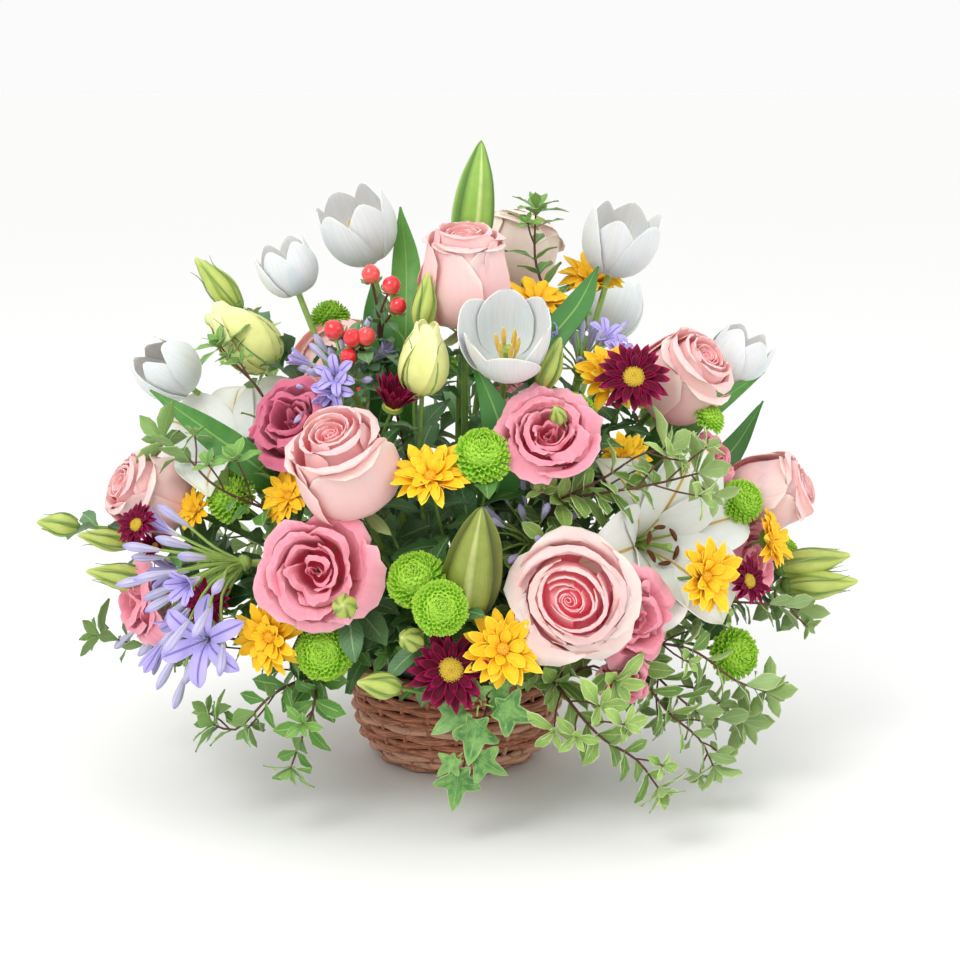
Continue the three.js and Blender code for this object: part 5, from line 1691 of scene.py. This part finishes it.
ADD_BLOOM = {
    "rose": add_rose, "open_rose": add_rose, "lisianthus": add_lisianthus, "bud": add_bud,
    "lily": add_lily, "lily_bud": add_lily_bud, "button": add_button, "yellow": add_daisy,
    "burgundy": add_daisy, "umbel": add_umbel, "berry": add_berry,
}


def grow_plants(plants, grow, *habit):
    """Grows each plant with its own seed, and makes a piece for each finish that it uses."""
    for plant in plants:
        growths = defaultdict(Growth)
        grow(growths, plant, np.random.default_rng(FIRST_SEED + PLANTS.index(plant)), *habit)
        for name, growth in growths.items():
            make_piece(plant.name, name, growth, SLOT_OF.get(name, GREEN_SLOT))


def grow_flowers(growths, plant, rng, stem, leaves=None):
    """A stem of one finish, its leaves of one habit, and its blooms."""
    add_stalks(growths, plant, stem, rng)
    if leaves:
        add_stem_leaves(growths, plant, leaves, rng)
    for bloom in plant.blooms:
        ADD_BLOOM[bloom.kind](growths, bloom, rng)


def grow_tulip(growths, plant, rng):
    """A tulip with its long leaves, which rise from where a stem of its kind would fork."""
    add_stalks(growths, plant, "pale_stem", rng)
    add_tulip(growths, plant.blooms[0], rng)
    for points, width in plant.leaves:
        add_blade(growths["tulip_leaf"], np.vstack([fork_of(plant), points]), width, rng)
    add_stem_leaves(growths, plant, "tulip", rng)


FRESH_BRANCHES = ("sprig_top", "sprig_low_left", "sprig_left")


def grow_branch(growths, plant, rng):
    """A branch and its shoots, or the ivy that hangs over the basket's front."""
    route = route_of(plant)
    if plant.name == "ivy":
        whole = np.vstack([route, plant.shoots[0][1:]])
        add_tube(growths["twig"], line(whole, 30), np.linspace(1.3, 0.8, 31), 6)
        for root, way, length in IVY_LEAVES:
            face = unit(np.array([0.9 * jitter(rng, 1), -1, 0.6 * rng.random()]))
            add_ivy_leaf(growths, np.array(root, float), way, face, length, rng)
        return
    name = "fresh_leaf" if plant.name in FRESH_BRANCHES else "branch_leaf"
    length = plant.leaf_length * bpy.context.scene.basket_greenery.size
    add_shoot(growths, name, route, length, rng, 0.2, (1.6, 1.25), 0.25)
    for shoot in plant.shoots:
        add_shoot(growths, name, shoot, length, rng, 0.05, (1.25, 0.7), 0.16)


# ---- Basket, liner and foam ----

WALL_RADII = (57.5, 66.0, 71.5, 75.0, 77.5, 79.0, 80.2, 81.0, 81.6, 82.0)
WALL_TOP = 70
WEAVERS_LOW, WEAVERS_SHORT = 3.5, 6.6
STAKES = 24
RIM_RADIUS, RIM_HEIGHT = 82, 75
RIM_STRANDS = 4
# How far a strand of the rim winds off its middle, how many times round, and half its thickness.
RIM_LAY, RIM_TURNS, RIM_ROD = 2.35, 16, 2.5
BASE_HEIGHT = 2.75
BASE_RINGS, BASE_SPOKES = 10, 8
BASE_REACH, BASE_FIRST, BASE_PITCH = 53, 6.2, 5.05
LINER = [(0, 5.4), (30, 5.4), (56, 6), (65, 13), (72.6, 32), (75.2, 52), (75.4, 70), (75.2, 85.6),
         (74.6, 85.2), (74.4, 70), (74.2, 52), (71.5, 32), (64, 14), (55, 7), (30, 6.4), (0, 6.4)]
FOAM = [(0, 7.2), (48, 7.2), (60, 15), (66.5, 34), (67.5, 55), (68, 76), (67.5, 93), (62, 98.5),
        (44, 99.3), (20, 99.6), (0, 99.6)]


def wall_radius(z):
    return np.interp(z, np.linspace(0, WALL_TOP, len(WALL_RADII)), WALL_RADII)


def add_hoop(growth, blank, start, radii, heights, thick, rng):
    """A rod bent into a closed ring, at a radius and height for each turn about the middle."""
    swell = thick * (1 + 0.07 * np.sin(5 * blank.turn + start))
    out = radii + swell * np.cos(blank.roll)
    z = np.maximum(heights + swell * 1.1 * np.sin(blank.roll), 0.05)
    corners = about_axis(out, blank.turn + start, z)
    growth.add(blank, corners, blank.turn / math.tau + 0.5, blank.roll / math.tau + 0.5, rng.random())


def add_weavers(growth, weave, rng):
    """Rods woven in front of one stake and behind the next, row over row."""
    blank = hoop(216, 7)
    pitch = (WALL_TOP - WEAVERS_SHORT) / (weave.rows - 1)
    for row in range(weave.rows):
        start = rng.random() * math.tau
        turn = blank.turn + start
        z = WEAVERS_LOW + row * pitch
        wobble = (0.5 * np.sin(2 * turn + start) + 0.45 * np.sin(7 * turn + 2 * start)) * min(row / 2, 1)
        sway = weave.sway / MM * np.cos(STAKES / 2 * turn + math.pi * row)
        radii = wall_radius(z) + sway + 0.35 * np.sin(5 * turn + start)
        thick = weave.rod / MM / 2 * (0.9 + 0.2 * rng.random())
        add_hoop(growth, blank, start, radii, z + wobble, thick, rng)


def add_stakes(growth, weave, rng):
    """The uprights that the weavers pass, from the base to the rim."""
    z = np.linspace(2.5, WALL_TOP + 2, 9)
    for i in range(STAKES):
        points = about_axis(wall_radius(z), math.tau * i / STAKES, z)
        add_tube(growth, points, weave.stake / MM / 2 * (0.9 + 0.2 * rng.random()), 7, rng.random())


def add_rim(growth, rng):
    """The border: strands that wind round each other along the top of the wall."""
    blank = hoop(288, 7)
    for strand in range(RIM_STRANDS):
        start = rng.random() * math.tau
        turn = blank.turn + start
        lay = RIM_TURNS * turn + strand * math.tau / RIM_STRANDS
        radii = RIM_RADIUS + RIM_LAY * np.cos(lay) + 0.3 * np.sin(3 * turn + strand)
        heights = RIM_HEIGHT + RIM_LAY * np.sin(lay) + 0.3 * np.sin(4 * turn + strand)
        add_hoop(growth, blank, start, radii, heights, RIM_ROD * (0.92 + 0.16 * rng.random()), rng)


def add_base(growth, rng):
    """The bottom: rings of rod woven over and under spokes."""
    blank = hoop(96, 6)
    for ring in range(BASE_RINGS):
        start = rng.random() * math.tau
        heights = BASE_HEIGHT + 0.45 * np.cos(BASE_SPOKES * (blank.turn + start) + math.pi * ring)
        radius = BASE_FIRST + ring * BASE_PITCH
        add_hoop(growth, blank, start, radius, heights, 2.15 + 0.2 * rng.random(), rng)
    for i in range(BASE_SPOKES):
        end = BASE_REACH * spoke(math.pi * i / BASE_SPOKES)[0]
        ends = [UP * BASE_HEIGHT - end, UP * BASE_HEIGHT + end]
        add_tube(growth, line(ends, 10), 1.3, 6, rng.random())


def crinkled(profile, sides, rings, depth, scale, seed):
    """A turned form's corners, pushed in and out by soft folds of a few sizes."""
    blank = ball(sides, rings)
    r, z = through_rows(profile, blank.along).T
    r = np.abs(r)
    rng = np.random.default_rng(seed)
    fold = np.zeros(len(r))
    for k in range(7):
        waves = round(scale * (1 + 0.7 * k))
        lean = (jitter(rng, 0.06) * (1 + k) + 0.05 * (k - 3)) * z
        fold += np.sin(waves * blank.turn + lean + rng.random() * math.tau) / (1 + 0.5 * k)
    r = r - depth * np.minimum(r / 40, 1) * (0.5 + 0.25 * fold)
    return blank, about_axis(r, blank.turn, z), fold


def add_liner(growth):
    """The film that holds the water: a thin bowl whose upper edge is uneven."""
    blank, corners, fold = crinkled(LINER, 96, 60, 0.5, 19, 5)
    high = smoothstep(76, 86, corners[:, 2])
    corners[:, 2] -= high * (1.6 + 1.2 * np.clip(fold, -1.3, 1.3))
    growth.add_round(blank, corners)


def add_foam(growth):
    """The block that the stems are pushed into, with a slightly lumpy top."""
    blank, corners, _ = crinkled(FOAM, 80, 48, 1.4, 9, 8)
    top = smoothstep(92, 99, corners[:, 2])
    corners[:, 2] -= top * (1.1 + 0.9 * np.sin(corners[:, 0] * 0.21 + 1) * np.sin(corners[:, 1] * 0.17))
    growth.add_round(blank, corners)


# ---- Settings ----


def colour_setting(name, description, code):
    return bpy.props.FloatVectorProperty(
        name=name, description=description, default=tone_of(code), size=3, min=0, max=1,
        subtype="COLOR_GAMMA")


def length_setting(name, description, default):
    return bpy.props.FloatProperty(
        name=name, description=description, default=default, min=0.0001, max=0.05, unit="LENGTH")


def share_setting(name, description, default):
    return bpy.props.FloatProperty(
        name=name, description=description, default=default, min=0, max=3, subtype="FACTOR")


class WeaveSettings(bpy.types.PropertyGroup):
    rows: bpy.props.IntProperty(
        name="Rows", description="Rows of weavers up the wall", default=12, min=6, max=20)
    rod: length_setting("Weaver", "Thickness of a weaver rod", 0.0051)
    stake: length_setting("Stake", "Thickness of an upright", 0.0034)
    sway: length_setting("Sway", "How far a weaver passes in front of or behind a stake", 0.0019)
    bark: colour_setting("Bark", "Colour of the willow rods", "#cc8563")


class RoseSettings(bpy.types.PropertyGroup):
    curl: share_setting("Curl", "How far the petals' edges turn back", 1.0)
    thickness: length_setting("Thickness", "Thickness of a petal", 0.0005)
    body: colour_setting("Body", "Colour of the outer petals", "#f6c5c2")
    # The heart colour is partly the rose's own deeper pink and partly painted shade in the folds, and it
    # tints their painted glow.
    heart: colour_setting("Heart", "Colour deep between the inner petals", "#f2768b")


class TulipSettings(bpy.types.PropertyGroup):
    thickness: length_setting("Thickness", "Thickness of a petal", 0.0007)
    body: colour_setting("Body", "Colour of the petals", "#dfe4e8")


class LisianthusSettings(bpy.types.PropertyGroup):
    ruffle: share_setting("Ruffle", "How deep the rims' waves are", 1.0)
    thickness: length_setting("Thickness", "Thickness of a petal", 0.0004)
    body: colour_setting("Body", "Colour of the petals", "#ef93a5")
    # The throat's colour also tints the painted glow in the petals' folds.
    heart: colour_setting("Heart", "Colour of the throat", "#a52c44")


class DaisySettings(bpy.types.PropertyGroup):
    button: colour_setting("Pompon", "Colour of the green pompons", "#78bf24")
    yellow: colour_setting("Yellow", "Colour of the yellow rays", "#ffc60f")
    burgundy: colour_setting("Burgundy", "Colour of the dark rays", "#52061e")


class GreenerySettings(bpy.types.PropertyGroup):
    size: share_setting("Leaf Size", "Size of the branches' leaves", 1.2)
    leaf: colour_setting("Leaf", "Colour of the branches' leaves", "#a2c562")
    margin: colour_setting("Margin", "Colour of the leaves' pale margins", "#d9dfaa")


SETTINGS = {
    "basket_weave": WeaveSettings, "basket_roses": RoseSettings, "basket_tulips": TulipSettings,
    "basket_lisianthuses": LisianthusSettings, "basket_daisies": DaisySettings,
    "basket_greenery": GreenerySettings,
}


# ---- Operators ----


class FLOWERBASKET_OT_weave(bpy.types.Operator):
    """Weaves the willow wall, border and base"""

    bl_idname = "flower_basket.weave"
    bl_label = "Weave Basket"

    def execute(self, context):
        weave = context.scene.basket_weave
        wall, rim, base = Growth(), Growth(), Growth()
        rng = np.random.default_rng(len("basket_wall"))
        add_weavers(wall, weave, rng)
        add_stakes(wall, weave, rng)
        add_rim(rim, np.random.default_rng(len("basket_rim")))
        add_base(base, np.random.default_rng(len("basket_base")))
        make_piece("basket_wall", "willow", wall, "willow")
        make_piece("basket_rim", "willow", rim, "willow")
        make_piece("basket_base", "willow", base, "willow")
        return {"FINISHED"}


class FLOWERBASKET_OT_fill(bpy.types.Operator):
    """Puts the film and the block of foam in the basket"""

    bl_idname = "flower_basket.fill"
    bl_label = "Add Liner and Foam"

    def execute(self, context):
        liner, foam = Growth(), Growth()
        add_liner(liner)
        add_foam(foam)
        make_piece("pot_liner", "liner_film", liner, "liner_film")
        make_piece("floral_foam", "wet_foam", foam, "wet_foam")
        return {"FINISHED"}


class FLOWERBASKET_OT_roses(bpy.types.Operator):
    """Grows the pink and cream roses"""

    bl_idname = "flower_basket.roses"
    bl_label = "Grow Roses"

    def execute(self, context):
        grow_plants(ROSES, grow_flowers, "green_stem", "rose")
        return {"FINISHED"}


class FLOWERBASKET_OT_tulips(bpy.types.Operator):
    """Grows the white tulips and their long leaves"""

    bl_idname = "flower_basket.tulips"
    bl_label = "Grow Tulips"

    def execute(self, context):
        grow_plants(TULIPS, grow_tulip)
        return {"FINISHED"}


class FLOWERBASKET_OT_lilies(bpy.types.Operator):
    """Grows the white lilies and their buds"""

    bl_idname = "flower_basket.lilies"
    bl_label = "Grow Lilies"

    def execute(self, context):
        grow_plants(LILIES, grow_flowers, "green_stem", "lily")
        return {"FINISHED"}


class FLOWERBASKET_OT_lisianthuses(bpy.types.Operator):
    """Grows the ruffled pink blooms and their twisted buds"""

    bl_idname = "flower_basket.lisianthuses"
    bl_label = "Grow Lisianthuses"

    def execute(self, context):
        grow_plants(LISIANTHUSES, grow_flowers, "green_stem", "lisianthus")
        return {"FINISHED"}


class FLOWERBASKET_OT_buttons(bpy.types.Operator):
    """Grows the green pompons"""

    bl_idname = "flower_basket.buttons"
    bl_label = "Grow Green Pompons"

    def execute(self, context):
        grow_plants(BUTTONS, grow_flowers, "green_stem", "daisy")
        return {"FINISHED"}


class FLOWERBASKET_OT_daisies(bpy.types.Operator):
    """Grows the yellow and the burgundy daisies"""

    bl_idname = "flower_basket.daisies"
    bl_label = "Grow Daisies"

    def execute(self, context):
        grow_plants(DAISIES, grow_flowers, "green_stem", "daisy")
        return {"FINISHED"}


class FLOWERBASKET_OT_agapanthuses(bpy.types.Operator):
    """Grows the umbels of lilac buds and stars"""

    bl_idname = "flower_basket.agapanthuses"
    bl_label = "Grow Agapanthuses"

    def execute(self, context):
        grow_plants(AGAPANTHUSES, grow_flowers, "pale_stem")
        return {"FINISHED"}


class FLOWERBASKET_OT_berries(bpy.types.Operator):
    """Grows the stem of red berries"""

    bl_idname = "flower_basket.berries"
    bl_label = "Grow Berries"

    def execute(self, context):
        grow_plants(BERRY_STEMS, grow_flowers, "twig", "hypericum")
        return {"FINISHED"}


class FLOWERBASKET_OT_branches(bpy.types.Operator):
    """Grows the pale-edged branches and the ivy"""

    bl_idname = "flower_basket.branches"
    bl_label = "Grow Branches"

    def execute(self, context):
        grow_plants(BRANCHES, grow_branch)
        return {"FINISHED"}


# The lights' names, kinds, places, sizes (an angle for the sun), strengths and colours.
STAGE_LIGHTS = (
    ("key", "AREA", (-1.0, -1.5, 1.9), 1.1, 25, (1.0, 0.99, 0.97)),
    ("fill", "AREA", (1.6, -1.2, 1.0), 1.6, 7, (0.97, 0.98, 1.0)),
    ("sky", "SUN", (0.3, 0.6, 3.0), 1.6, 0.5, (1.0, 1.0, 1.0)),
)
LIGHTS_AIM = Vector((0.0, 0.0, 0.22))
WORLD_TONE, WORLD_STRENGTH = (0.985, 0.985, 0.985, 1.0), 0.98
FLOOR_RADIUS, FLOOR_HEIGHT = 40, -0.0006
CAMERA_PLACE, CAMERA_PITCH = (0.018, -1.4672, 0.5289), math.radians(78)
CAMERA_LENS, CAMERA_SENSOR = 73.1, 36


class FLOWERBASKET_OT_stage(bpy.types.Operator):
    """Lays the pale floor and sets the soft lights and the camera"""

    bl_idname = "flower_basket.stage"
    bl_label = "Set Stage"

    def execute(self, context):
        deselect()
        bpy.ops.mesh.primitive_circle_add(
            vertices=96, radius=FLOOR_RADIUS, fill_type="NGON", location=(0, 0, FLOOR_HEIGHT))
        floor = context.object
        floor.name = "floor"
        bpy.ops.object.transform_apply(location=True, rotation=True, scale=True)
        floor.data.materials.append(finish("floor"))
        for name, kind, spot, size, power, tone in STAGE_LIGHTS:
            bpy.ops.object.light_add(type=kind, location=spot)
            lamp = context.object
            lamp.name = name
            setattr(lamp.data, "size" if kind == "AREA" else "angle", size)
            lamp.data.energy, lamp.data.color = power, tone
            lamp.rotation_euler = (LIGHTS_AIM - lamp.location).to_track_quat("-Z", "Y").to_euler()
        world = bpy.data.worlds.new("studio")
        world.use_nodes = True
        back = world.node_tree.nodes["Background"]
        back.inputs["Color"].default_value = WORLD_TONE
        back.inputs["Strength"].default_value = WORLD_STRENGTH
        context.scene.world = world
        bpy.ops.object.camera_add(location=CAMERA_PLACE, rotation=(CAMERA_PITCH, 0, 0))
        camera = context.object
        camera.data.lens, camera.data.sensor_width = CAMERA_LENS, CAMERA_SENSOR
        context.scene.camera = camera
        context.scene.view_settings.view_transform = "Standard"
        return {"FINISHED"}


OPERATORS = (
    FLOWERBASKET_OT_weave, FLOWERBASKET_OT_fill, FLOWERBASKET_OT_roses, FLOWERBASKET_OT_tulips,
    FLOWERBASKET_OT_lilies, FLOWERBASKET_OT_lisianthuses, FLOWERBASKET_OT_buttons,
    FLOWERBASKET_OT_daisies, FLOWERBASKET_OT_agapanthuses, FLOWERBASKET_OT_berries,
    FLOWERBASKET_OT_branches, FLOWERBASKET_OT_stage,
)


class FLOWERBASKET_PT_panel(bpy.types.Panel):
    """The basket's settings, and a button for each group of pieces"""

    bl_idname = "FLOWERBASKET_PT_panel"
    bl_label = "Flower Basket"
    bl_space_type = "VIEW_3D"
    bl_region_type = "UI"
    bl_category = "Flower Basket"

    def draw(self, context):
        for key, group in SETTINGS.items():
            box = self.layout.box()
            for name in group.__annotations__:
                box.prop(getattr(context.scene, key), name)
        for operator in OPERATORS:
            self.layout.operator(operator.bl_idname)


CLASSES = (*SETTINGS.values(), *OPERATORS, FLOWERBASKET_PT_panel)


def register():
    for made in CLASSES:
        bpy.utils.register_class(made)
    for key, group in SETTINGS.items():
        setattr(bpy.types.Scene, key, bpy.props.PointerProperty(type=group))


def unregister():
    for key in SETTINGS:
        delattr(bpy.types.Scene, key)
    for made in reversed(CLASSES):
        bpy.utils.unregister_class(made)


def main():
    register()
    for operator in OPERATORS:
        group, name = operator.bl_idname.split(".")
        getattr(getattr(bpy.ops, group), name)()


if __name__ == "__main__":
    main()
